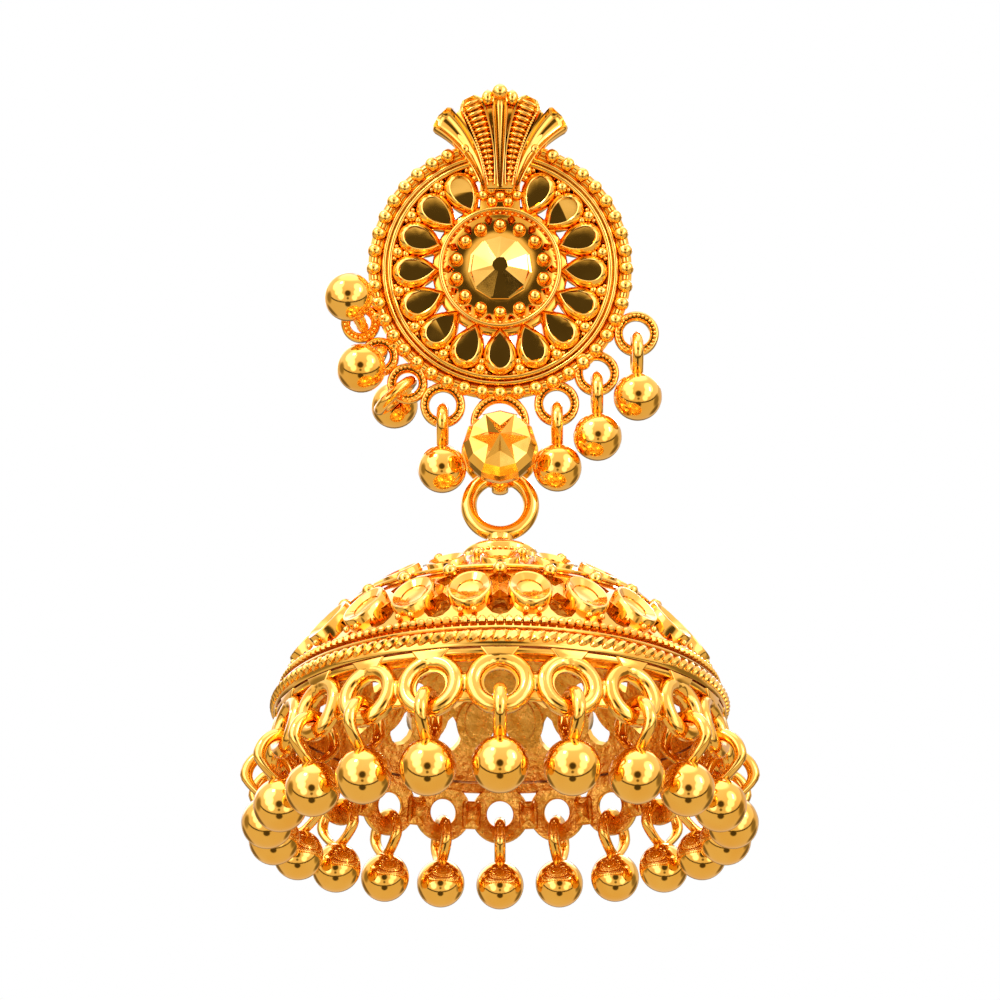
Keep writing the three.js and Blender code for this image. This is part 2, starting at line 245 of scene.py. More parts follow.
def shaped(obj, matrix):
    """Moves the mesh inside its object."""
    obj.data.transform(matrix)
    return obj


def twin_of(obj, matrix):
    """A copy with its own mesh, set by the matrix."""
    twin = obj.copy()
    twin.data = obj.data.copy()
    bpy.context.scene.collection.objects.link(twin)
    return shaped(twin, matrix)


def copies(obj, matrices):
    """One copy for each matrix, joined into one object."""
    made = [twin_of(obj, matrix) for matrix in matrices]
    bpy.data.objects.remove(obj)
    return joined(made)


def joined(parts):
    clear_selection()
    for part in parts:
        part.select_set(True)
    bpy.context.view_layer.objects.active = parts[0]
    bpy.ops.object.join()
    return parts[0]


def around(obj, count):
    """Repeats a part evenly round the bench's upright axis."""
    clear_selection()
    bpy.ops.object.empty_add(rotation=(0, 0, TAU / count))
    pivot = bpy.context.object
    choose(obj)
    bpy.ops.object.modifier_add(type="ARRAY")
    array = obj.modifiers[-1]
    array.count = count
    array.use_relative_offset = False
    array.use_object_offset = True
    array.offset_object = pivot
    bpy.ops.object.modifier_apply(modifier=array.name)
    bpy.data.objects.remove(pivot)
    return obj


def turn_z(angle):
    return Matrix.Rotation(angle, 4, "Z")


def cut_away(obj, cutter):
    choose(obj)
    bpy.ops.object.modifier_add(type="BOOLEAN")
    cut = obj.modifiers[-1]
    cut.operation = "DIFFERENCE"
    cut.solver = "EXACT"
    cut.use_self = True
    cut.object = cutter
    bpy.ops.object.modifier_apply(modifier=cut.name)
    bpy.data.objects.remove(cutter)
    return obj


def disc(points, radius, height=0.0, fill="NGON"):
    """A flat face with that many corners."""
    place = (0, 0, height)
    return started(
        bpy.ops.mesh.primitive_circle_add, vertices=points, radius=radius, fill_type=fill, location=place
    )


def block(size, place=(0, 0, 0)):
    """A box of that size."""
    obj = started(bpy.ops.mesh.primitive_cube_add, size=1, location=place)
    with editing(obj, start="SELECT"):
        bpy.ops.transform.resize(value=size, center_override=place)
    return obj


def softened(obj, width, segments):
    """Rounds every edge off."""
    with editing(obj, start="SELECT"):
        bpy.ops.mesh.bevel(offset=width, segments=segments, affect="EDGES")
    return obj


def bead(radius, place, segments=12, rings=8, size=(1, 1, 1)):
    """A soldered granule: a ball flattened where it sits."""
    obj = started(bpy.ops.mesh.primitive_uv_sphere_add, segments=segments, ring_count=rings, radius=radius)
    with editing(obj):
        pick(lambda v: v.co.z < -radius * 0.6)
        bpy.ops.transform.resize(value=(1, 1, 0.6), center_override=(0, 0, 0))
    return shaped(obj, Matrix.Translation(place) @ Matrix.Diagonal((*size, 1)))


def bent_wire(radius, wire, segments, sides, place=(0, 0, 0), turn=(0, 0, 0)):
    """A round wire bent to a ring about its own z axis, then turned."""
    return started(
        bpy.ops.mesh.primitive_torus_add,
        location=place,
        rotation=turn,
        major_radius=radius,
        minor_radius=wire,
        major_segments=segments,
        minor_segments=sides,
    )


def wire_ring(radius, wire, height, segments=96, sides=10):
    """A ring of wire lying flat, a little flattened where it is soldered down."""
    obj = bent_wire(radius, wire, segments, sides, (0, 0, height))
    with editing(obj):
        pick(lambda v: v.co.z < height - wire * 0.5)
        bpy.ops.transform.resize(value=(1, 1, 0.7), center_override=(0, 0, height))
    return obj


def set_in(obj, name, place, body, nodes, materials, smooth):
    """Sets a finished piece into the frame, in metres, hangs it on the body it rides on and hides the frame
    parts it stands for.
    """
    obj.name = name
    obj.data.name = name
    while len(obj.data.materials) < len(materials):
        obj.data.materials.append(materials[len(obj.data.materials)])
    choose(obj)
    bpy.ops.object.shade_smooth_by_angle(angle=math.radians(smooth))
    obj.matrix_world = place
    bpy.ops.object.transform_apply(location=True, rotation=True, scale=True)
    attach(obj, body)
    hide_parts(*nodes)


# ---- Finishes ----


class Shader:
    """A principled metal with nodes added one after another."""

    def __init__(self, name):
        self.material = bpy.data.materials.new(name)
        self.material.use_nodes = True
        self.tree = self.material.node_tree
        self.metal = self.tree.nodes["Principled BSDF"]
        self.metal.inputs["Metallic"].default_value = 1.0
        self.place = self.node("ShaderNodeTexCoord").outputs["Object"]

    def node(self, kind, **values):
        made = self.tree.nodes.new(kind)
        for key, value in values.items():
            setattr(made, key, value)
        return made

    def join(self, source, target):
        self.tree.links.new(source, target)

    def mapped(self, scale):
        node = self.node("ShaderNodeMapping")
        node.inputs["Scale"].default_value = scale
        self.join(self.place, node.inputs["Vector"])
        return node.outputs["Vector"]

    def noise(self, feature, detail=2.0, stretch=(1, 1, 1)):
        """Noise whose features are about so many metres across."""
        node = self.node("ShaderNodeTexNoise")
        node.inputs["Scale"].default_value = 1.0
        node.inputs["Detail"].default_value = detail
        self.join(self.mapped([s / feature for s in stretch]), node.inputs["Vector"])
        return node.outputs["Fac"]

    def ranged(self, source, low, high, start=0.3, end=0.7):
        node = self.node("ShaderNodeMapRange")
        for key, value in (("From Min", start), ("From Max", end), ("To Min", low), ("To Max", high)):
            node.inputs[key].default_value = value
        self.join(source, node.inputs["Value"])
        return node.outputs["Result"]

    def mixed(self, factor, first, second):
        node = self.node("ShaderNodeMix", data_type="RGBA")
        self.join(factor, node.inputs["Factor"])
        for socket, colour in ((node.inputs["A"], first), (node.inputs["B"], second)):
            if isinstance(colour, (tuple, list)):
                socket.default_value = (*colour, 1)
            else:
                self.join(colour, socket)
        return node.outputs["Result"]

    def bumped(self, height, depth, under=None):
        node = self.node("ShaderNodeBump")
        node.inputs["Strength"].default_value = 1.0
        node.inputs["Distance"].default_value = depth
        self.join(height, node.inputs["Height"])
        if under is not None:
            self.join(under, node.inputs["Normal"])
        return node.outputs["Normal"]

    def painted_recess_shade(self, reach):
        """0 on open metal and 1 deep between parts: the mask for painted shade in recesses."""
        node = self.node("ShaderNodeAmbientOcclusion", samples=6)
        node.inputs["Distance"].default_value = reach
        return self.ranged(node.outputs["AO"], 1.0, 0.0, 0.25, 0.85)


def gold(name, colour, deep, roughness, ripple, painted_recess_shade=0.0009):
    """Polished gold: a slightly uneven tone, painted shade in the recesses that also stands for polishing
    compound left there, hairlines and a soft ripple.
    """
    shader = Shader(name)
    tone = shader.mixed(shader.ranged(shader.noise(0.0021), 0, 0.5), tuple(colour), tuple(deep))
    # Painted shade: the deep colour is mixed in wherever ambient occlusion finds a recess.
    tone = shader.mixed(shader.painted_recess_shade(painted_recess_shade), tone, tuple(deep))
    shader.join(tone, shader.metal.inputs["Base Color"])
    smear = shader.ranged(shader.noise(0.0007, 3.0), roughness * 0.7, roughness * 1.5)
    shader.join(smear, shader.metal.inputs["Roughness"])
    hairlines = shader.noise(0.00012, 1.0, (1, 7, 1))
    soft = shader.bumped(shader.noise(0.0011, 1.0), ripple)
    shader.join(shader.bumped(hairlines, 0.0000006, soft), shader.metal.inputs["Normal"])
    return shader.material


def cast_gold(name, colour, deep):
    """Unpolished cast gold, grainy and browner, as inside the bell, with painted shade in its recesses."""
    shader = Shader(name)
    tone = shader.mixed(shader.ranged(shader.noise(0.0009, 4.0), 0, 1), tuple(colour), tuple(deep))
    # Painted shade: the deep cast colour is mixed in wherever ambient occlusion finds a recess.
    tone = shader.mixed(shader.painted_recess_shade(0.0025), tone, tuple(deep))
    shader.join(tone, shader.metal.inputs["Base Color"])
    shader.join(shader.ranged(shader.noise(0.0003, 3.0), 0.24, 0.42), shader.metal.inputs["Roughness"])
    grain = shader.noise(0.0004, 3.0)
    shader.join(shader.bumped(grain, 0.00016), shader.metal.inputs["Normal"])
    return shader.material


FINISHES = {}


def finish(name):
    """The finish of that name, made once from the chosen colours."""
    if name not in FINISHES:
        tones = bpy.context.scene.jhumka_gold
        bright, deep = tones.bright, tones.deep
        FINISHES[name] = {
            "polished": lambda: gold("polished_gold", bright, deep, tones.roughness, 0.000012),
            "mirror": lambda: gold("mirror_gold", bright, deep, tones.roughness * 0.7, 0.000006, 0.0006),
            "facet": lambda: gold("facet_gold", bright, tones.facet, tones.roughness * 0.6, 0.000004, 0.0003),
            "post": lambda: gold("post_gold", bright, deep, tones.roughness * 2.0, 0.000003),
            "cast": lambda: cast_gold("cast_gold", tones.cast, tones.cast_stain_and_shade),
        }[name]()
    return FINISHES[name]


# ---- Rosette ----


def pear_point(angle, length, width):
    """The point at that angle round a pear outline, whose tip points down."""
    round_r = width / 2
    shoulder = length / 2 - round_r
    angle %= TAU
    if angle <= math.pi:
        return Vector((round_r * math.cos(angle), shoulder + round_r * math.sin(angle), 0))
    t = (angle - math.pi) / (math.pi / 2)
    side = -1 if t < 1 else 1
    t = t if t < 1 else 2 - t
    across = round_r * (1 - t * t)
    down = (1 - t) ** 2 * shoulder + 2 * t * (1 - t) * (-length * 0.2) + t * t * (-length / 2)
    return Vector((side * across, down, 0))


def pear_blank(length, width, height, points=28):
    """A flat pear at that height."""

    def to_pear(co):
        return pear_point(math.atan2(co.y, co.x), length, width) + Vector((0, 0, height))

    return warp(disc(points, 1), to_pear)


def cell_place(index):
    angle = -math.pi / 2 + (index - (CELL_COUNT - 1) / 2) * CELL_STEP
    spot = Vector((CELL_RING_R * math.cos(angle), CELL_RING_R * math.sin(angle), 0))
    return Matrix.Translation(spot) @ turn_z(angle - math.pi / 2)


# The bezel's lip, from its outer edge inwards: how far in, and the height.
BEZEL_LIP = [(0.0, 0.14), (0.07, 0.32), (0.17, 0.46), (0.29, 0.57), (0.4, 0.65), (0.46, 0.62), (0.48, 0.2)]


def pear_bezel():
    """The cup that holds a pear stud: an upright wall rolled over into a broad bright lip."""
    cup = pear_blank(CELL_LENGTH, CELL_WIDTH, PLATE_BACK)
    half_w, half_l = CELL_WIDTH / 2, CELL_LENGTH / 2
    was_in, was_z = 0.0, PLATE_BACK
    with editing(cup, "FACE", "SELECT"):
        for inset, z in BEZEL_LIP:
            size = ((half_w - inset) / (half_w - was_in), (half_l - inset) / (half_l - was_in), 1)
            grow(move=(0, 0, z - was_z), size=size)
            was_in, was_z = inset, z
    return tidy_mesh(cup)


# Studs whose table is cut in two planes; the others have a low peak.
SPLIT_TABLES = (0, 5, 13)
TABLE_JITTER = 0.07


def pear_stud(index, chance):
    """A cut stud: a flat table with an uneven edge over sloping sides."""
    stud = pear_blank(CELL_LENGTH * 0.79, CELL_WIDTH * 0.7, 0.1, 18)
    with editing(stud, "FACE", "SELECT"):
        grow(move=(0, 0, 0.36))
        grow(move=(0, 0, 0.14), size=(0.86, 0.88, 1))

    def uneven(co):
        if co.z < 0.55:
            return co
        co.x += chance.uniform(-TABLE_JITTER, TABLE_JITTER)
        co.y += chance.uniform(-TABLE_JITTER, TABLE_JITTER)
        return co

    warp(stud, uneven)
    if index in SPLIT_TABLES:
        with editing(stud, "FACE"):
            pick(lambda f: f.calc_center_median().z > 0.55, "faces")
            bpy.ops.mesh.bisect(plane_co=(0, 0.1, 0.6), plane_no=(0.35, 1, 0), threshold=1e-3)
            pick(lambda v: v.co.z > 0.55 and v.co.y + 0.35 * v.co.x > 0.2)
            bpy.ops.transform.translate(value=(0, 0, -0.14))
    else:
        with editing(stud, "FACE"):
            pick(lambda f: f.calc_center_median().z > 0.58, "faces")
            bpy.ops.mesh.poke()
            pick(lambda v: v.co.z > 0.58 and math.hypot(v.co.x, v.co.y) < 0.4)
            bpy.ops.transform.translate(value=(chance.uniform(-0.12, 0.12), chance.uniform(-0.1, 0.2), 0.05))
    return tidy_mesh(stud)


# The rim's plate, its wires (track, thickness and height) and the granules between two bezels.
RIM_PROFILE = [
    (6.78, PLATE_BACK), (8.45, PLATE_BACK), (8.8, -0.25), (8.82, 0.02), (8.1, 0.16), (7.9, 0.02), (7.2, 0.06),
    (7.1, -0.1), (6.78, -0.14),
]
RIM_WIRES = [(7.38, 0.17, 0.22), (7.76, 0.15, 0.2), (RIM_BEAD_R, 0.26, 0.12)]
RIM_GRANULES = [
    (0.4, (0, -6.93, 0.2)), (0.27, (0, -6.4, 0.12)), (0.16, (-0.42, -7.08, 0.16)), (0.16, (0.42, -7.08, 0.16))
]


def rosette_rim(sizes):
    """Rim plate, two plain wires, a bed wire and its row of beads, and the granules inside the rim."""
    plate = turned(RIM_PROFILE, 128, closed=True)
    wires = [wire_ring(track, wire, height, 128) for track, wire, height in RIM_WIRES]
    beads = around(bead(sizes.rim_bead_radius / MM, (0, -RIM_BEAD_R, 0.26), 14, 10), sizes.rim_beads)
    between = [turn_z((i - CELL_COUNT / 2 + 1) * CELL_STEP) for i in range(-1, CELL_COUNT)]
    granules = copies(joined([bead(r, spot) for r, spot in RIM_GRANULES]), between)
    return joined([plate, *wires, beads, granules])


# The flange, the wall and its lip, and the groove round the stone's seat.
COLLAR_PROFILE = [
    (0, PLATE_BACK), (4.5, PLATE_BACK), (4.55, -0.2), (4.4, -0.05), (COLLAR_R, 0.0), (COLLAR_R, 0.62),
    (4.0, 0.72), (3.8, 0.68), (3.74, 0.5), (3.72, 0.14), (3.0, -0.1), (2.2, 0.12), (0, 0.12),
]


def rosette_collar(sizes):
    """The round cup of the centre stone, with its bright wire, milgrain, granules and prongs."""
    cup = turned(COLLAR_PROFILE, 96)
    wire = wire_ring(3.96, 0.15, 0.72, 112)
    milgrain = around(bead(0.11, (0, -3.72, 0.6), 8, 5), 56)
    granules = around(bead(sizes.collar_bead_radius / MM, (0, -2.98, 0.24), 14, 10), sizes.collar_beads)
    prong = started(
        bpy.ops.mesh.primitive_cone_add,
        vertices=4,
        radius1=0.34,
        radius2=0.02,
        depth=0.7,
        location=(0, -3.42, 0.3),
    )
    with editing(prong):
        pick(lambda v: v.co.z > 0.5)
        bpy.ops.transform.translate(value=(0, -0.22, 0))
    prongs = shaped(around(prong, sizes.collar_beads), turn_z(math.pi / sizes.collar_beads))
    return joined([cup, wire, milgrain, granules, prongs])


def centre_stone(chance):
    """A rose-cut centre: a small table, long radial facets, short lower ones and a girdle flange."""
    stone = disc(11, 2.15, 0.15)
    with editing(stone, "FACE", "SELECT"):
        grow(move=(0, 0, 0.3))
        grow(move=(0, 0, 0.08), size=(0.93, 0.93, 1))
        grow(move=(0, 0, 0.22))
        grow(move=(0, 0, 0.8), size=(0.26, 0.26, 1))

    def hand_cut(co):
        if co.z > 0.6:
            angle = math.atan2(co.y, co.x) + chance.uniform(-0.07, 0.07)
            reach = math.hypot(co.x, co.y) * chance.uniform(0.94, 1.05)
            return Vector((reach * math.cos(angle), reach * math.sin(angle), co.z))
        return co

    return tidy_mesh(warp(stone, hand_cut))


# Crown leaves: foot, bend and tip in the rosette's plane, half width at the foot and tip, and heights there.
CROWN_LEAVES = {
    "outer": ((1.15, 5.65), (1.85, 8.6), (4.15, 10.3), 0.17, 1.08, 0.72, 1.0),
    "ribbed": ((0.6, 5.55), (0.75, 8.8), (2.2, 11.6), 0.27, 1.0, 0.85, 1.15),
    "middle": ((0.0, 5.4), (0.0, 8.5), (0.0, 12.0), 0.16, 0.64, 0.98, 1.25),
}
CROWN_BACK = 0.1
FOOT_GRAINS = [(-1.15, 5.0), (0, 4.95), (1.15, 5.0), (-0.6, 5.4), (0.6, 5.4), (-0.55, 4.55), (0.55, 4.55)]


def leaf_spot(leaf, t):
    """The leaf's middle line at t from foot to tip: the point, the way on, the half width and the height."""
    foot, bend, tip, narrow, wide, low, high = leaf
    foot, bend, tip = (Vector((x, y, 0)) for x, y in (foot, bend, tip))
    here = (1 - t) ** 2 * foot + 2 * t * (1 - t) * bend + t * t * tip
    way = ((1 - t) * (bend - foot) + t * (tip - bend)).normalized()
    return here, way, narrow + (wide - narrow) * t**0.9, low + (high - low) * t


# Half of the fan's solid back, from its foot to its top.
FAN_OUTLINE = [
    (0.9, 5.3), (1.3, 6.3), (1.9, 7.6), (2.8, 8.7), (4.1, 9.4), (4.3, 9.75), (3.4, 10.5), (2.8, 10.65),
    (2.6, 11.2), (1.9, 11.45), (1.15, 11.4), (0.95, 11.8), (0.5, 12.0),
]
FAN_THICK = 0.55
FAN_CHAMFER = 0.1


def crown_back():
    """The solid back that the leaves stand on."""
    outline = FAN_OUTLINE + [(-x, y) for x, y in reversed(FAN_OUTLINE)]
    plate = disc(len(outline), 1, CROWN_BACK)
    for vertex, (x, y) in zip(plate.data.vertices, outline):
        vertex.co.x, vertex.co.y = x, y
    with editing(plate, "FACE", "SELECT"):
        grow(move=(0, 0, FAN_THICK - FAN_CHAMFER))
        bpy.ops.mesh.inset(thickness=FAN_CHAMFER, depth=FAN_CHAMFER)
    return tidy_mesh(plate)


def crown_leaf(leaf, hollow, rim, round_from=0.84):
    """A leaf of the fan: a hollowed face inside a raised rim, round at the tip, on a deep edge."""
    grid = started(bpy.ops.mesh.primitive_grid_add, x_subdivisions=16, y_subdivisions=30, size=2)

    def to_leaf(co):
        u, t = co.x, (co.y + 1) / 2
        here, way, half, height = leaf_spot(leaf, t)
        cap = max(0.0, (t - round_from) / (1 - round_from))
        edge = math.sqrt(u * u * (1 - cap * cap) + cap * cap)
        half *= math.sqrt(max(0.0, 1 - cap * cap))
        dip = hollow * max(0.0, 1 - (edge / 0.72) ** 2)
        lip = rim * math.exp(-(((edge - 0.82) / 0.13) ** 2))
        fall = 0.22 * max(0.0, (edge - 0.88) / 0.12) ** 2
        spot = here + Vector((way.y, -way.x, 0)) * u * half
        return Vector((spot.x, spot.y, height - dip + lip - fall))

    warp(grid, to_leaf)
    with editing(grid, "FACE", "SELECT"):
        bpy.ops.mesh.extrude_region_move(TRANSFORM_OT_translate={"value": (0, 0, -1)})
        bpy.ops.transform.resize(value=(0.97, 0.97, 0), center_override=(0, 9, CROWN_BACK))
    return tidy_mesh(grid, 1e-3)


def leaf_rungs(leaf, count):
    """The rows of small bars across a ribbed leaf."""
    bar = started(bpy.ops.mesh.primitive_uv_sphere_add, segments=10, ring_count=6, radius=1)
    with editing(bar):
        pick(lambda v: v.co.z < -0.5)
        bpy.ops.transform.resize(value=(1, 1, 0.5), center_override=(0, 0, 0))
    places = []
    for i in range(count):
        t = 0.05 + 0.86 * i / (count - 1)
        here, way, half, height = leaf_spot(leaf, t)
        turn = axes(Vector((way.y, -way.x, 0)), way, Vector((0, 0, 1)))
        size = Matrix.Diagonal((half * 0.68, 0.1 + 0.06 * t, 0.2, 1))
        places.append(Matrix.Translation(here + Vector((0, 0, height - 0.02))) @ turn @ size)
    return copies(bar, places)


def leaf_milgrain(leaf, side, count):
    """A row of fine grains along one rim of a leaf."""
    places = []
    for i in range(count):
        t = 0.08 + 0.78 * i / (count - 1)
        here, way, half, height = leaf_spot(leaf, t)
        spot = here + Vector((way.y, -way.x, 0)) * half * 0.84 * side
        places.append(Matrix.Translation((spot.x, spot.y, height + 0.12)))
    return copies(bead(0.085, (0, 0, 0), 8, 5), places)


def mirrored(obj):
    twin = twin_of(obj, Matrix.Scale(-1, 4, Vector((1, 0, 0))))
    return joined([obj, tidy_mesh(twin)])


def rosette_crown():
    """The fan: smooth outer leaves, ribbed inner ones, a grooved middle leaf and the ball on top."""
    outer = crown_leaf(CROWN_LEAVES["outer"], 0.26, 0.2, 0.93)
    ribbed = crown_leaf(CROWN_LEAVES["ribbed"], 0.28, 0.18)
    rungs = leaf_rungs(CROWN_LEAVES["ribbed"], 15)
    grains = leaf_milgrain(CROWN_LEAVES["ribbed"], 1, 26)
    half = joined([outer, ribbed, rungs, grains])
    middle = crown_leaf(CROWN_LEAVES["middle"], 0.3, 0.14)
    ball = bead(0.56, (0, 11.85, 1.1), 18, 12)
    lobe = bead(0.55, (0.82, 11.5, 0.75), 16, 10, (0.85, 1.1, 1))
    body = mirrored(joined([half, lobe]))
    foot_plate = softened(block((2.7, 2.6, 0.5), (0, 5.1, -0.2)), 0.08, 2)
    grains = [bead(0.38, (x, y, 0.2)) for x, y in FOOT_GRAINS]
    return joined([body, middle, ball, foot_plate, crown_back(), *grains])


def flat_loop(x, y, outer):
    """A flat soldered loop with a row of milgrain round its face."""
    inner = outer - LOOP_WALL
    back = [(inner, -0.28), (inner + 0.08, -0.35), (outer - 0.08, -0.35), (outer, -0.27)]
    outer_rim = [(outer, 0.2), (outer - 0.1, 0.3), (outer - 0.2, 0.26)]
    inner_rim = [(inner + 0.14, 0.26), (inner + 0.07, 0.33), (inner, 0.24)]
    ring = turned(back + outer_rim + inner_rim, 56, closed=True)
    track = (inner + outer) / 2 + 0.03
    grains = around(bead(0.115, (0, -track, 0.28), 8, 5), round(TAU * track / 0.29))
    ring = shaped(joined([ring, grains]), Matrix.Translation((x, y, 0)))
    away = Vector((x, y, 0)).normalized() * (math.hypot(x, y) - outer + 0.12)
    lug = bead(0.42, (0, 0, 0), 10, 7, (1.3, 1.0, 0.8))
    return joined([ring, shaped(lug, Matrix.Translation(away))])


def loop_centre(loop):
    at, out, _ = loop
    angle = math.radians(at)
    return Vector((out * math.sin(angle), -out * math.cos(angle), 0))


def rosette_loops():
    loops = [flat_loop(*MIDDLE_LOOP)]
    for loop in SIDE_LOOPS:
        centre = loop_centre(loop)
        loops.append(flat_loop(centre.x, centre.y, loop[2]))
    return joined(loops)


def ear_post(sizes):
    """The back pad and its post, with a groove near the end for a push back."""
    radius = sizes.post_radius / MM
    back = -PAD_TO_PLATE
    tip = [(0, -10), (radius * 0.55, -10), (radius * 0.85, -9.85), (radius, -9.6)]
    groove = [(radius, -8.9), (radius * 0.8, -8.8), (radius * 0.8, -8.6), (radius, -8.5)]
    foot = [(radius, -0.35), (radius + 0.08, -0.12), (radius + 0.3, 0)]
    pad = [(2.5, 0), (2.6, 0.08), (2.6, 0.24), (2.5, 0.33), (0, 0.35)]
    return turned([(r, back + z) for r, z in tip + groove + foot + pad], 64)


# ---- Drops ----


def gold_drop(sizes):
    """A hollow ball with a drilled top on a jump ring, hanging along +X from the wire at the origin."""
    ball_r, ring_r = sizes.ball_radius / MM, sizes.ring_radius / MM
    ring = bent_wire(ring_r, sizes.ring_wire / MM, 36, 12, (JUMP_SLACK, 0, 0))

    def narrow_foot(co):
        low = max(0.0, (co.x - JUMP_SLACK) / ring_r)
        co.y *= 1 - 0.5 * min(1.0, low) ** 1.5
        return co

    warp(ring, narrow_foot)
    middle = JUMP_SLACK + BALL_BELOW_JUMP
    ball = started(
        bpy.ops.mesh.primitive_uv_sphere_add,
        segments=36,
        ring_count=24,
        radius=ball_r,
        location=(middle, 0, 0),
        rotation=(0, -math.pi / 2, 0),
    )
    top = middle - ball_r * math.cos(math.radians(20))
    with editing(ball, "FACE"):
        pick(lambda f: f.calc_center_median().x < top, "faces")
        bpy.ops.mesh.delete(type="FACE")
    with editing(ball, "EDGE"):
        pick(lambda e: e.is_boundary, "edges")
        grow(move=(0.06, 0, 0), size=(1, 0.86, 0.86))
        grow(move=(0.5, 0, 0), size=(1, 0.8, 0.8))
        bpy.ops.mesh.edge_face_add()
    return joined([ball, ring])


def drop_place(hook, hang, along):
    down = hang.normalized()
    axis = (along - down * along.dot(down)).normalized()
    return Matrix.Translation(hook) @ axes(down, axis.cross(down), axis)


def rosette_drop_places():
    """The places of the rosette's drops, in its own plane: four hang plumb and three lie over."""
    plumb = rosette_bench().to_3x3().inverted() @ Vector((0, 0, -1))
    places = []
    for index in HANGING_DROPS:
        loop = SIDE_LOOPS[index]
        hook = loop_centre(loop) + Vector((0, -(loop[2] - LOOP_WALL / 2), 0))
        places.append(drop_place(hook, plumb, Vector((1, 0, 0))))
    for index, outward, tilt in FLOPPED_DROPS:
        loop = SIDE_LOOPS[index]
        out = Vector((*outward, 0)).normalized()
        hook = loop_centre(loop) + out * (loop[2] - LOOP_WALL / 2)
        lean = math.radians(tilt)
        hang = out * math.cos(lean) + Vector((0, 0, math.sin(lean)))
        places.append(drop_place(hook, hang, Vector((-out.y, out.x, 0))))
    return places


def bell_drop_places():
    hook_r = SKIRT_R + SKIRT_LOOP_R * math.sin(SKIRT_FLARE)
    hook_z = -SKIRT_LOOP_R * math.cos(SKIRT_FLARE)
    places = []
    for i in range(SKIRT_COUNT):
        angle = -math.pi / 2 + i * TAU / SKIRT_COUNT
        hook = Vector((hook_r * math.cos(angle), hook_r * math.sin(angle), hook_z))
        places.append(drop_place(hook, Vector((0, 0, -1)), Vector((-math.sin(angle), math.cos(angle), 0))))
    return places


# ---- Link ----

STRAP_TOP = 0.6
STRAP_BOTTOM = -2.77
STRAP_HALF_Y = 0.85
STRAP_WIRE = 0.55
STRAP_WIDEN = 2.0
STAR_AT = Vector((0, -3.1, -1.45))
STAR_BACK = 1.975
# The star's points reach this far; its peak stands up and its valleys are drawn in and sunk.
STAR_REACH = 1.86
STAR_PEAK = 0.55
VALLEY_SHARE = 0.48
VALLEY_SINK = 0.16


def link_strap():
    """The upright strap ring between the rosette's middle loop and the bell's ring."""
    mid = STRAP_HALF_Y + STRAP_WIRE / 2
    strap = bent_wire(mid, STRAP_WIRE / 2, 40, 16, turn=(0, math.pi / 2, 0))

    def to_strap(co):
        co.x *= STRAP_WIDEN
        co.z += (STRAP_TOP - STRAP_HALF_Y) if co.z > 0 else (STRAP_BOTTOM + STRAP_HALF_Y)
        return co

    return warp(strap, to_strap)


def edge_vertices(obj):
    """The vertices along the open edge of a mesh."""
    model = bmesh.new()
    model.from_mesh(obj.data)
    found = [v.index for v in model.verts if v.is_boundary]
    model.free()
    return found


def lower_edge(obj, drop, reach, height=None):
    """Extrudes the open edge downwards and puts it on a circle of that reach, at that height if given."""
    with editing(obj, "EDGE"):
        pick(lambda e: e.is_boundary, "edges")
        grow(move=(0, 0, -drop))
    for index in edge_vertices(obj):
        co = obj.data.vertices[index].co
        scale = reach / math.hypot(co.x, co.y)
        co.x *= scale
        co.y *= scale
        if height is not None:
            co.z = height


def star_bead(sizes):
    """A round bead whose face is cut to a six-pointed star; its back is flat, against the strap."""
    radius = sizes.star_radius / MM
    bead_front = disc(12, STAR_REACH, 1.6, "TRIFAN")

    def is_tip(v):
        turn = math.degrees(math.atan2(v.co.y, v.co.x)) % 60
        return min(turn, 60 - turn) < 10

    with editing(bead_front):
        pick(lambda v: math.hypot(v.co.x, v.co.y) < 0.1)
        bpy.ops.transform.translate(value=(0, 0, STAR_PEAK))
        pick(lambda v: math.hypot(v.co.x, v.co.y) > 1 and not is_tip(v))
        bpy.ops.transform.resize(value=(VALLEY_SHARE, VALLEY_SHARE, 1), center_override=(0, 0, 0))
        bpy.ops.transform.translate(value=(0, 0, -VALLEY_SINK))
    lower_edge(bead_front, 0.2, 1.98, 1.28)
    girdle = [(0.62, 2.36), (0.6, radius), (0.4, radius * 0.99)]
    back = [(0.85, 2.1), (0.75, 1.35), (0.02, 1.2)]
    for drop, reach in girdle + back:
        lower_edge(bead_front, drop, reach)
    with editing(bead_front, "EDGE"):
        pick(lambda e: e.is_boundary, "edges")
        bpy.ops.mesh.edge_face_add()
    warp(bead_front, lambda co: Vector((co.x, co.y, max(co.z, -STAR_BACK))))
    tidy_mesh(bead_front)
    # The star faces the viewer: the bench's z becomes -Y.
    return shaped(bead_front, Matrix.Translation(STAR_AT) @ Matrix.Rotation(math.pi / 2, 4, "X"))


CAP_AT = Vector((0, 2.0, 0.55))
CAP_PROFILE = [
    (0, -0.62), (1.6, -0.62), (2.2, -0.45), (2.6, -0.1), (2.6, 0.1), (2.2, 0.42), (1.2, 0.62), (0, 0.66)
]


def link_cap():
    """The plain round cap behind the link."""
    return shaped(turned(CAP_PROFILE, 40), Matrix.Translation(CAP_AT) @ Matrix.Rotation(-math.pi / 2, 4, "X"))


# ---- Bell ----


HANGER_COLLAR = [(0, 12.2), (2.78, 12.2), (2.88, 12.42), (2.78, 12.7), (2.5, 12.8), (2.42, 13.1)]
HANGER_CAP = [(2.5, 13.3), (2.44, 13.5), (2.15, 13.68), (1.7, 13.8), (1.62, 13.92)]
HANGER_WAIST = [(1.2, 14.0), (0.92, 14.2), (0.84, 14.4), (0.9, 14.7), (0, 14.95)]


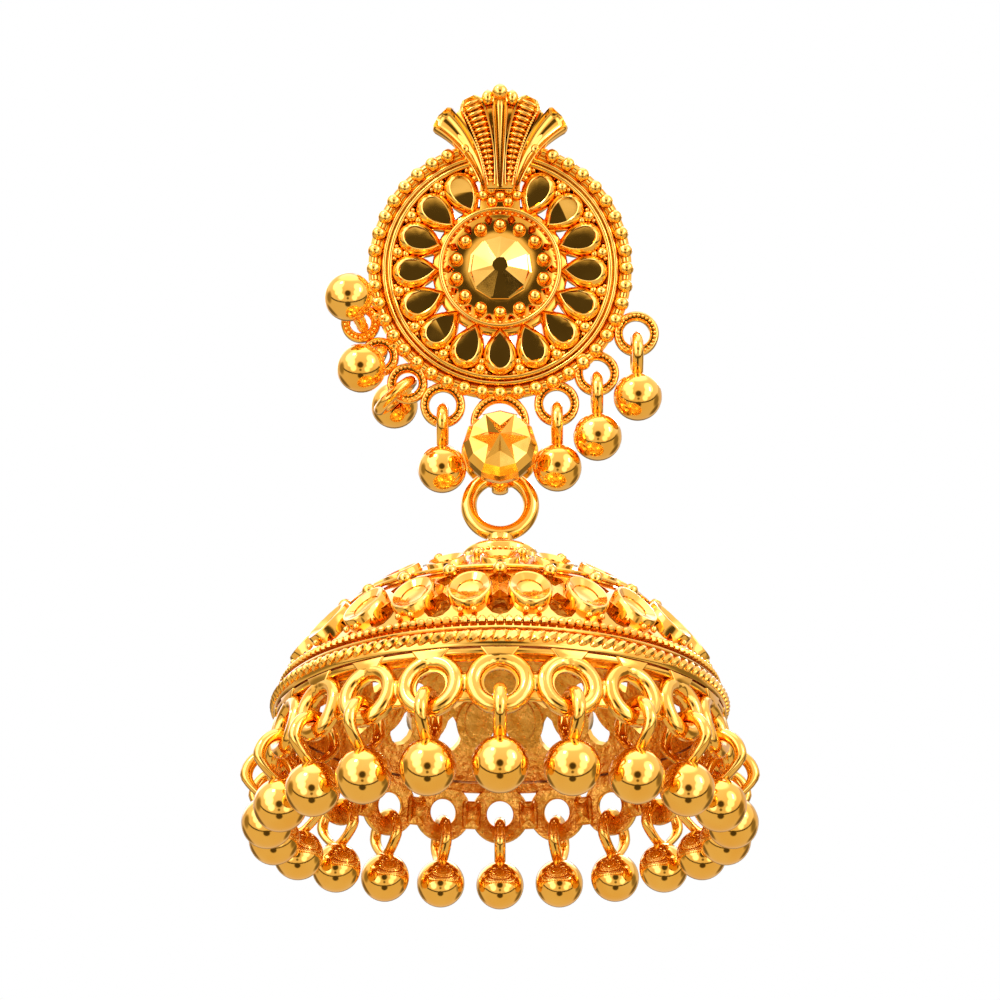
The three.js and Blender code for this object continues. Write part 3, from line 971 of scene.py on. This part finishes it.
def bell_hanger():
    """The upright ring on a waisted neck, over a domed collar with a grained edge."""
    ring = bent_wire(HANGER_R, HANGER_WIRE_R, 64, 18, (0, 0, HANGER_Z), (math.pi / 2, 0, 0))
    neck = turned(HANGER_COLLAR + HANGER_CAP + HANGER_WAIST, 56)
    grains = around(bead(0.15, (0, -2.52, 12.95), 8, 5), 40)
    return joined([ring, neck, grains])


# The dome's section, from its top down the outside and back up the inside.
DOME_OUTER = [
    (0, 12.1), (2.8, 12.1), (4.8, 11.65), (7.0, 10.65), (9.3, 9.05), (11.3, 7.15), (12.8, 5.2), (13.5, 3.9),
    (13.7, 3.4), (14.1, 2.8), (14.15, 2.3), (14.05, 2.15),
]
DOME_INNER = [
    (13.3, 2.15), (13.2, 3.3), (12.3, 5.0), (10.85, 6.8), (8.95, 8.6), (6.75, 10.15), (4.6, 11.1),
    (2.6, 11.55), (0, 11.55),
]


def dome_place(radius, lift, turn):
    """A place on the dome's outside: x across, y up the slope and z straight out of it."""
    for (r0, z0), (r1, z1) in zip(DOME_OUTER, DOME_OUTER[1:]):
        if r0 <= radius <= r1:
            share = (radius - r0) / (r1 - r0)
            height = z0 + share * (z1 - z0)
            slope = Vector((0, (r1 - r0), -(z1 - z0))).normalized()
            break
    up = Vector((0, slope.y, slope.z))
    out = Vector((0, -slope.z, slope.y))
    spot = Vector((0, -radius, height)) + out * lift
    return turn_z(turn) @ Matrix.Translation(spot) @ axes(Vector((1, 0, 0)), up, out)


def dome_window(width, height, point_up):
    """A cutter for a see-through gap, with a pointed end."""
    cutter = started(bpy.ops.mesh.primitive_cylinder_add, vertices=12, radius=1, depth=3.0)
    sense = 1 if point_up else -1

    def to_gap(co):
        y = co.y * sense
        narrow = 1 - 0.75 * max(0.0, y)
        return Vector((co.x * narrow * width / 2, co.y * height / 2, co.z))

    return warp(cutter, to_gap)


CELL_DEPTH = 0.8


def oval_cell(width, length, height):
    """A closed cup: a rolled oval lip, a broad flat slope inside it, and a dished mirror at the bottom."""
    cup = disc(28, 1, -CELL_DEPTH)
    with editing(cup, "FACE", "SELECT"):
        bpy.ops.transform.resize(value=(width / 2, length / 2, 1), center_override=(0, 0, -CELL_DEPTH))
        grow(move=(0, 0, CELL_DEPTH + height - 0.12))
        grow(move=(0, 0, 0.1), size=(0.95, 0.96, 1))
        grow(move=(0, 0, 0.02), size=(0.92, 0.93, 1))
        grow(move=(0, 0, -0.04), size=(0.94, 0.95, 1))
        grow(move=(0, 0, -0.2), size=(0.72, 0.66, 1), about=(0, length * 0.08, 0))
        grow(move=(0, 0, -0.1), size=(0.97, 0.97, 1), about=(0, length * 0.08, 0))
        bpy.ops.mesh.inset(thickness=0.16, depth=-0.07)
        bpy.ops.mesh.inset(thickness=0.16, depth=-0.04)
    return tidy_mesh(cup)


def dome_angles(count, shift):
    """Even turns round the dome, moved on by that share of a step."""
    step = TAU / count
    return [(i + shift) * step for i in range(count)]


def dome_row(part, radius, angles, lift=0.0):
    """Copies of a part in a ring of that radius, on the dome's slope."""
    return copies(part, [dome_place(radius, lift, angle) for angle in angles])


def dome_shell():
    """The domed sheet with its four rows of see-through gaps."""
    shell = turned(DOME_OUTER + DOME_INNER, 132)
    low, crown = dome_angles(DOME_CELLS, 0), dome_angles(CROWN_CELLS, 0.5)
    gaps = [
        dome_row(dome_window(1.75, 2.5, True), 12.65, low),
        dome_row(dome_window(1.5, 1.5, False), 10.95, low),
        dome_row(dome_window(1.1, 1.5, True), 9.7, crown),
        dome_row(dome_window(0.8, 1.0, False), 5.4, crown),
    ]
    return cut_away(shell, joined(gaps))


def dome_cells():
    """Two rows of mirror cells and the small ones at the crown, with the granules between them."""
    low, low_between = dome_angles(DOME_CELLS, 0.5), dome_angles(DOME_CELLS, 0)
    crown, crown_between = dome_angles(CROWN_CELLS, 0), dome_angles(CROWN_CELLS, 0.5)
    pairs = [angle + side * 0.03 for angle in low for side in (-1, 1)]
    parts = [
        dome_row(oval_cell(2.62, 3.5, 0.5), 12.05, low),
        dome_row(oval_cell(2.4, 2.7, 0.36), 8.4, crown),
        dome_row(bead(0.44, (0, 0, 0.28)), 10.35, low_between),
        dome_row(bead(0.36, (0, 0, 0.1)), 6.75, crown_between),
        dome_row(bead(0.2, (0, 0, 0.2), 8, 6), 13.15, pairs),
        dome_row(oval_cell(1.3, 1.7, 0.14), 4.4, crown),
        wire_ring(10.0, 0.16, 8.62, 128, 8),
        dome_row(bead(1, (0, 0, 0), 16, 8, (0.85, 1.5, 0.5)), 11.9, low, -0.72),
    ]
    return joined(parts)


def dome_ropes():
    """The fine beaded rope and the thicker slanted one along the dome's edge."""
    fine = around(bead(0.29, (0, -13.62, 3.86), 8, 6, (0.9, 1, 1)), 168)
    strand = started(bpy.ops.mesh.primitive_uv_sphere_add, segments=8, ring_count=7, radius=1)
    with editing(strand):
        pick(lambda v: abs(v.co.z) > 0.8)
        bpy.ops.transform.resize(value=(1, 1, 0.94), center_override=(0, 0, 0))
    slant = Matrix.Rotation(math.radians(55), 4, "Y")
    shaped(strand, Matrix.Translation((0, -14.05, 2.72)) @ slant @ Matrix.Diagonal((0.27, 0.34, 0.62, 1)))
    thick = around(strand, 124)
    bed = wire_ring(13.95, 0.27, 2.72, 128, 8)
    line = wire_ring(13.86, 0.12, 3.3, 128, 8)
    return joined([fine, thick, bed, line])


def skirt_loop():
    """One loop of the skirt: a thick round wire in front, flat behind, with a seam near its top."""
    loop = bent_wire(SKIRT_LOOP_R, SKIRT_WIRE_R, 40, 14, turn=(math.pi / 2, 0, 0))
    seam, seam_half = math.radians(96), math.radians(3)

    def cast_back(co):
        if co.y > 0:
            co.y = min(co.y * 0.9, 0.26)
        angle = math.atan2(co.z, co.x)
        if abs(angle - seam) < seam_half:
            flat = Vector((math.cos(angle), 0, math.sin(angle))) * SKIRT_LOOP_R
            co = flat + (co - flat) * 0.86
        return co

    warp(loop, cast_back)
    lean = Matrix.Rotation(-SKIRT_FLARE, 4, "X")
    reach = SKIRT_LOOP_R + 0.46
    profile = [(0.9, 0.0), (0.9, 0.24), (0.98, 0.32), (reach - 0.06, 0.32), (reach, 0.24), (reach, 0.0)]
    back = shaped(turned(profile, 32, closed=True), Matrix.Rotation(-math.pi / 2, 4, "X"))
    return shaped(joined([loop, back]), Matrix.Translation((0, -SKIRT_R, 0)) @ lean)


def skirt_pad():
    """The flat stub that joins a loop to the flange."""
    pad = block((2.3, 0.66, 0.62))
    with editing(pad):
        pick(lambda v: v.co.z < 0)
        bpy.ops.transform.resize(value=(0.6, 1, 1), center_override=(0, 0, 0))
    return shaped(softened(pad, 0.1, 3), Matrix.Translation((0, -SKIRT_R + 0.12, 1.78)))


def skirt_bridge():
    """The fused waist between two neighbouring loops."""
    length = 0.9
    bridge = started(
        bpy.ops.mesh.primitive_cylinder_add,
        vertices=16,
        radius=0.74,
        depth=length,
        rotation=(0, math.pi / 2, 0),
    )
    with editing(bridge, "EDGE"):
        pick(lambda e: abs(e.verts[0].co.x - e.verts[1].co.x) > 0.5, "edges")
        bpy.ops.mesh.subdivide(number_cuts=5)

    def waist(co):
        share = 0.85 + 0.5 * (abs(co.x) / (length / 2)) ** 2
        return Vector((co.x, co.y * 0.72 * share, co.z * share))

    warp(bridge, waist)
    return shaped(bridge, turn_z(HALF_LOOP_STEP) @ Matrix.Translation((0, -WAIST_R, 0)))


def skirt_web():
    """The cast web behind two neighbouring loops, wider than the waist in front of it."""
    web = softened(block((1.3, 0.42, 1.9)), 0.2, 3)
    lean = Matrix.Rotation(-SKIRT_FLARE, 4, "X")
    return shaped(web, turn_z(HALF_LOOP_STEP) @ Matrix.Translation((0, 0.08 - WAIST_R, -0.14)) @ lean)


SKIRT_BAND = [(13.42, 1.78), (13.5, 1.7), (13.95, 1.7), (14.03, 1.78), (14.03, 2.0), (13.42, 2.0)]
SKIRT_LINING = [(13.3, 1.45), (13.62, 1.38), (13.72, 1.48), (13.62, 1.95), (13.25, 1.95)]


def bell_skirt():
    """The ring of loops with their pads, bridges and webs, under the band and its lining."""
    webs = around(skirt_web(), SKIRT_COUNT)
    lining = turned(SKIRT_LINING, 132, closed=True)
    loops = around(skirt_loop(), SKIRT_COUNT)
    pads = around(skirt_pad(), SKIRT_COUNT)
    bridges = around(skirt_bridge(), SKIRT_COUNT)
    band = turned(SKIRT_BAND, 132, closed=True)
    return joined([loops, pads, bridges, band, webs, lining])


def roughen_inside(obj, sharp=-0.3):
    """Gives the second finish to the faces that look in towards the bell's axis."""
    for face in obj.data.polygons:
        away = Vector((face.center.x, face.center.y, 0))
        if away.length < 1e-6:
            face.material_index = 1 if face.normal.z < 0 else 0
            continue
        inward = face.normal.dot((away.normalized() * 0.8 + Vector((0, 0, 0.6))).normalized())
        face.material_index = 1 if inward < sharp else 0


# ---- Settings ----


def radius_property(name, thing, default):
    """The radius of something, given in millimetres and kept in metres."""
    return FloatProperty(
        name=name, description="Radius of " + thing, default=default * MM, unit="LENGTH", precision=5
    )


def colour_property(name, description, default):
    return FloatVectorProperty(name=name, description=description, subtype="COLOR", size=3, default=default)


class JhumkaRosetteSizes(PropertyGroup):
    rim_beads: IntProperty(name="Rim beads", description="Beads round the rosette's rim", default=44, min=12)
    rim_bead_radius: radius_property("Rim bead radius", "a rim bead", 0.5)
    collar_beads: IntProperty(name="Collar beads", description="Beads round the stone", default=14, min=6)
    collar_bead_radius: radius_property("Collar bead radius", "a collar bead", 0.43)
    post_radius: radius_property("Post radius", "the ear post", 0.45)
    cut_seed: IntProperty(name="Cut", description="Which uneven hand cut the studs have", default=7)


class JhumkaDropSizes(PropertyGroup):
    ball_radius: radius_property("Ball radius", "a drop's ball", 1.6)
    ring_radius: radius_property("Ring radius", "a jump ring's middle line", 1.44)
    ring_wire: radius_property("Ring wire", "a jump ring's wire", 0.38)
    star_radius: radius_property("Star bead radius", "the star-cut bead", 2.45)


class JhumkaGold(PropertyGroup):
    bright: colour_property("Gold", "Colour of polished gold", (1.0, 0.58, 0.1))
    # Deep gold is both a random darker tone and the painted shade mixed into recesses.
    deep: colour_property("Deep gold", "Colour of gold in recesses", (0.92, 0.42, 0.03))
    facet: colour_property("Facet gold", "Darker tone of the cut studs", (0.62, 0.33, 0.04))
    cast: colour_property("Cast gold", "Colour inside the bell", (1.0, 0.52, 0.08))
    # Deep cast gold is both the grain's stains and the painted shade mixed into the bell's recesses.
    cast_stain_and_shade: colour_property("Deep cast gold", "Stains inside the bell", (0.7, 0.28, 0.02))
    roughness: FloatProperty(
        name="Roughness", description="Roughness of polished gold", default=0.09, min=0, max=1
    )


class JhumkaStage(PropertyGroup):
    floor_drop: FloatProperty(
        name="Floor below", description="Floor's distance below the earring", default=0.11, unit="LENGTH"
    )
    floor_size: FloatProperty(
        name="Floor size", description="Radius of the round floor", default=1.6, unit="LENGTH"
    )
    camera_away: FloatProperty(
        name="Camera distance", description="Camera's distance from the earring", default=0.135, unit="LENGTH"
    )
    camera_rise: FloatProperty(
        name="Camera rise", description="The camera's look up", default=math.radians(24), unit="ROTATION"
    )
    lens: FloatProperty(name="Lens", description="Focal length in millimetres", default=74.0, min=1)


# ---- Operators ----


def numbered(name, index):
    return f"{name}_{index + 1:02d}"


class JHUMKA_OT_rosette(Operator):
    """Models the rosette: rim, bezels, collar, crown and loops"""

    bl_idname = "jhumka.rosette"
    bl_label = "Rosette"

    def execute(self, context):
        sizes = context.scene.jhumka_rosette
        place = rosette_bench()
        bezels = copies(pear_bezel(), [cell_place(i) for i in range(CELL_COUNT)])
        parts = {
            "rosette_rim": rosette_rim(sizes),
            "rosette_bezels": bezels,
            "rosette_collar": rosette_collar(sizes),
            "rosette_crown": rosette_crown(),
            "rosette_loops": rosette_loops(),
        }
        for name, obj in parts.items():
            set_in(obj, name, place, "rosette", ["rosette_frame"], [finish("polished")], 45)
        return {"FINISHED"}


class JHUMKA_OT_studs(Operator):
    """Cuts the fifteen pear studs and the centre stone"""

    bl_idname = "jhumka.studs"
    bl_label = "Studs"

    def execute(self, context):
        chance = random.Random(context.scene.jhumka_rosette.cut_seed)
        place = rosette_bench()
        for i in range(CELL_COUNT):
            stud = shaped(pear_stud(i, chance), cell_place(i))
            node = numbered("pear_facet", i)
            name = numbered("pear_stud", i)
            set_in(stud, name, place, "rosette", [node], [finish("facet")], 12)
        stone = centre_stone(chance)
        set_in(stone, "centre_stone", place, "rosette", ["centre_facet"], [finish("facet")], 5)
        return {"FINISHED"}


class JHUMKA_OT_post(Operator):
    """Turns the ear post and its pad"""

    bl_idname = "jhumka.post"
    bl_label = "Ear Post"

    def execute(self, context):
        post = ear_post(context.scene.jhumka_rosette)
        gold_finish = [finish("post")]
        set_in(post, "post_and_pad", rosette_bench(), "rosette", ["ear_post"], gold_finish, 40)
        return {"FINISHED"}


class JHUMKA_OT_drops(Operator):
    """Hangs the small gold drops on the rosette and on the bell"""

    bl_idname = "jhumka.drops"
    bl_label = "Drops"

    def execute(self, context):
        rows = [
            ("rosette", rosette_bench(), rosette_drop_places()),
            ("bell", bell_bench(), bell_drop_places()),
        ]
        for body, place, spots in rows:
            for i, spot in enumerate(spots):
                drop = shaped(gold_drop(context.scene.jhumka_drops), spot)
                name, node = numbered(body + "_ball", i), numbered(body + "_drop", i)
                set_in(drop, name, place, body, [node], [finish("mirror")], 50)
        return {"FINISHED"}


class JHUMKA_OT_link(Operator):
    """Cuts the star bead and bends the link's strap"""

    bl_idname = "jhumka.link"
    bl_label = "Star Link"

    def execute(self, context):
        place = upright_bench(Vector(JOINTS["link_swing"]["pos_m"]))
        parts = [
            ("link_strap", link_strap(), 50),
            ("star_bead", star_bead(context.scene.jhumka_drops), 8),
            ("link_cap", link_cap(), 40),
        ]
        for name, obj, smooth in parts:
            set_in(obj, name, place, "link", ["star_link"], [finish("polished")], smooth)
        return {"FINISHED"}


class JHUMKA_OT_bell(Operator):
    """Models the bell: its ring, openwork dome, ropes and skirt"""

    bl_idname = "jhumka.bell"
    bl_label = "Bell"

    def execute(self, context):
        place = bell_bench()
        both = [finish("polished"), finish("cast")]
        set_in(bell_hanger(), "bell_ring", place, "bell", ["bell_hanger"], both[:1], 50)
        domes = [("dome_shell", dome_shell), ("dome_cells", dome_cells), ("dome_ropes", dome_ropes)]
        for name, make in domes:
            obj = make()
            roughen_inside(obj)
            set_in(obj, name, place, "bell", ["bell_dome"], both, 40)
        skirt = bell_skirt()
        roughen_inside(skirt, -0.55)
        set_in(skirt, "skirt_loops", place, "bell", ["bell_skirt"], both, 50)
        return {"FINISHED"}


# The camera looks at the bell's axis this far above its bench, just over the hanger's middle.
AIM_Z = 17.37

# Weak lamps that lift the highlights: where each stands, its size in metres and its power in watts.
LAMPS = [
    ("key_light", (-0.2, -0.28, 0.3), (0.08, 0.08), 0.45),
    ("fill_light", (0.3, -0.2, 0.1), (0.05, 0.12), 0.2),
    ("rim_light", (0.1, 0.35, 0.25), (0.1, 0.06), 0.25),
]


def lamp(name, spot, target, size, power):
    """A soft box aimed at a point."""
    data = bpy.data.lights.new(name, "AREA")
    data.shape = "RECTANGLE"
    data.size, data.size_y = size
    data.energy = power
    obj = bpy.data.objects.new(name, data)
    obj.location = spot
    obj.rotation_euler = (Vector(target) - Vector(spot)).to_track_quat("-Z", "Y").to_euler()
    bpy.context.scene.collection.objects.link(obj)


class World:
    """The room round the earring, built up from soft patches by direction."""

    def __init__(self):
        world = bpy.data.worlds.new("studio")
        bpy.context.scene.world = world
        world.use_nodes = True
        self.tree = world.node_tree
        self.tree.nodes.clear()
        self.way = self.tree.nodes.new("ShaderNodeTexCoord").outputs["Generated"]

    def value(self, thing, target):
        if isinstance(thing, (int, float)):
            target.default_value = thing
        else:
            self.tree.links.new(thing, target)

    def math(self, operation, *inputs):
        node = self.tree.nodes.new("ShaderNodeMath")
        node.operation = operation
        for thing, target in zip(inputs, node.inputs):
            self.value(thing, target)
        return node.outputs[0]

    def facing(self, direction):
        """How far a direction faces the given one: 1 straight at it, -1 straight away."""
        node = self.tree.nodes.new("ShaderNodeVectorMath")
        node.operation = "DOT_PRODUCT"
        node.inputs[1].default_value = direction
        self.tree.links.new(self.way, node.inputs[0])
        return node.outputs["Value"]

    def step(self, source, low, high, first=0.0, last=1.0):
        node = self.tree.nodes.new("ShaderNodeMapRange")
        node.interpolation_type = "SMOOTHSTEP"
        for key, value in (("From Min", low), ("From Max", high), ("To Min", first), ("To Max", last)):
            node.inputs[key].default_value = value
        self.value(source, node.inputs["Value"])
        return node.outputs["Result"]

    def blend(self, share, first, second):
        """first where share is 0 and second where it is 1."""
        rest = self.math("SUBTRACT", 1.0, share)
        return self.math("ADD", self.math("MULTIPLY", first, rest), self.math("MULTIPLY", second, share))

    def patch(self, base, direction, inner, outer, value):
        """A soft round patch of that value, from inner to outer degrees from its middle."""
        edge, core = math.cos(math.radians(outer)), math.cos(math.radians(inner))
        return self.blend(self.step(self.facing(direction), edge, core), base, value)


def direction(azimuth, elevation):
    """The way to a point of the room: azimuth 0 is in front of the earring, 90 to the viewer's right."""
    a, e = math.radians(azimuth), math.radians(elevation)
    return Vector((math.sin(a) * math.cos(e), -math.cos(a) * math.cos(e), math.sin(e)))


# Soft patches of the room: azimuth, elevation, inner and outer radius in degrees, brightness.
ROOM_PATCHES = [
    (-100, 5, 8, 22, 0.3),
    (105, -5, 8, 22, 0.25),
    (0, 80, 14, 34, 2.2),
    (-150, 40, 14, 26, 1.9),
    (150, 50, 10, 20, 1.9),
    (180, 8, 12, 26, 0.25),
    (-140, -8, 8, 20, 0.2),
    (135, -12, 8, 20, 0.2),
    (-48, 32, 14, 28, 2.9),
    (-43, 4, 10, 22, 2.7),
    (-36, -22, 7, 18, 2.3),
    (50, 22, 11, 24, 2.7),
    (44, -4, 8, 20, 2.3),
    (37, -28, 6, 17, 2.0),
    (0, -12, 9, 18, 0.08),
    (0, -64, 9, 16, 0.08),
    (0, -36, 2, 8, 0.2),
]
# The far edge of the table under the earring, seen as a dark line low on every ball.
TABLE_WAY = Vector((0, 0.819, -0.574))


def studio_world():
    """White for the camera; for the metal, bright soft boxes with dark gaps over a dimmer table."""
    room = World()
    light = room.step(room.facing((0, 0, 1)), -0.7, 0.9, 0.9, 1.2)
    under = room.facing(TABLE_WAY)
    light = room.blend(room.step(under, -0.02, 0.04), light, 0.78)
    line = room.math("SUBTRACT", 1.0, room.step(room.math("ABSOLUTE", under), 0.025, 0.07))
    low = room.step(room.facing((0, 0, 1)), 0.35, 0.0)
    light = room.blend(room.math("MULTIPLY", line, low), light, 0.06)
    for azimuth, elevation, inner, outer, value in ROOM_PATCHES:
        light = room.patch(light, direction(azimuth, elevation), inner, outer, value)
    nodes, links = room.tree.nodes, room.tree.links
    tint = nodes.new("ShaderNodeMix")
    tint.data_type = "RGBA"
    links.new(room.step(light, 0.2, 2.0), tint.inputs["Factor"])
    tint.inputs["A"].default_value = (1, 0.8, 0.5, 1)
    tint.inputs["B"].default_value = (1, 1.03, 1.6, 1)
    metal = nodes.new("ShaderNodeBackground")
    links.new(tint.outputs["Result"], metal.inputs["Color"])
    links.new(light, metal.inputs["Strength"])
    white = nodes.new("ShaderNodeBackground")
    white.inputs["Color"].default_value = (1, 1, 1, 1)
    mix = nodes.new("ShaderNodeMixShader")
    links.new(nodes.new("ShaderNodeLightPath").outputs["Is Camera Ray"], mix.inputs["Fac"])
    links.new(metal.outputs["Background"], mix.inputs[1])
    links.new(white.outputs["Background"], mix.inputs[2])
    links.new(mix.outputs["Shader"], nodes.new("ShaderNodeOutputWorld").inputs["Surface"])


class JHUMKA_OT_stage(Operator):
    """Sets up the pale floor, the soft light and the camera"""

    bl_idname = "jhumka.stage"
    bl_label = "Stage"

    def execute(self, context):
        stage = context.scene.jhumka_stage
        low, high = CAD_BOX
        floor = disc(96, stage.floor_size, low.z - stage.floor_drop)
        floor.name = "floor"
        paint = Shader("floor_paint")
        paint.metal.inputs["Metallic"].default_value = 0.0
        paint.metal.inputs["Roughness"].default_value = 0.8
        tone = paint.mixed(paint.noise(0.3), (0.86, 0.86, 0.86), (0.9, 0.9, 0.9))
        paint.join(tone, paint.metal.inputs["Base Color"])
        floor.data.materials.append(paint.material)
        floor.visible_glossy = False
        studio_world()
        for name, spot, size, power in LAMPS:
            lamp(name, spot, (low + high) / 2, size, power)
        aim = bell_bench() @ Vector((0, 0, AIM_Z))
        rise = stage.camera_rise
        away = Vector((0, -math.cos(rise), -math.sin(rise))) * stage.camera_away
        data = bpy.data.cameras.new("camera")
        data.lens = stage.lens
        data.clip_start = 0.01
        camera = bpy.data.objects.new("camera", data)
        context.scene.collection.objects.link(camera)
        camera.location = aim + away
        camera.rotation_euler = (-away).to_track_quat("-Z", "Y").to_euler()
        context.scene.camera = camera
        context.scene.view_settings.view_transform = "Standard"
        return {"FINISHED"}


class JHUMKA_PT_panel(Panel):
    """Lists the earring's pieces and their sizes"""

    bl_idname = "JHUMKA_PT_panel"
    bl_label = "Jhumka Earring"
    bl_space_type = "VIEW_3D"
    bl_region_type = "UI"
    bl_category = "Jhumka"

    def draw(self, context):
        for operator in OPERATORS:
            self.layout.operator(operator.bl_idname)
        for name in SETTINGS:
            settings = getattr(context.scene, name)
            for prop in settings.bl_rna.properties:
                if prop.identifier not in ("rna_type", "name"):
                    self.layout.prop(settings, prop.identifier)


OPERATORS = (
    JHUMKA_OT_rosette,
    JHUMKA_OT_studs,
    JHUMKA_OT_post,
    JHUMKA_OT_drops,
    JHUMKA_OT_link,
    JHUMKA_OT_bell,
    JHUMKA_OT_stage,
)
SETTINGS = {
    "jhumka_rosette": JhumkaRosetteSizes,
    "jhumka_drops": JhumkaDropSizes,
    "jhumka_gold": JhumkaGold,
    "jhumka_stage": JhumkaStage,
}


def register():
    for cls in (*SETTINGS.values(), *OPERATORS, JHUMKA_PT_panel):
        bpy.utils.register_class(cls)
    for name, cls in SETTINGS.items():
        setattr(bpy.types.Scene, name, PointerProperty(type=cls))


def unregister():
    for name in SETTINGS:
        delattr(bpy.types.Scene, name)
    for cls in reversed((*SETTINGS.values(), *OPERATORS, JHUMKA_PT_panel)):
        bpy.utils.unregister_class(cls)


def main():
    """Makes every piece and the stage."""
    register()
    bpy.ops.jhumka.rosette()
    bpy.ops.jhumka.studs()
    bpy.ops.jhumka.post()
    bpy.ops.jhumka.drops()
    bpy.ops.jhumka.link()
    bpy.ops.jhumka.bell()
    bpy.ops.jhumka.stage()


if __name__ == "__main__":
    main()
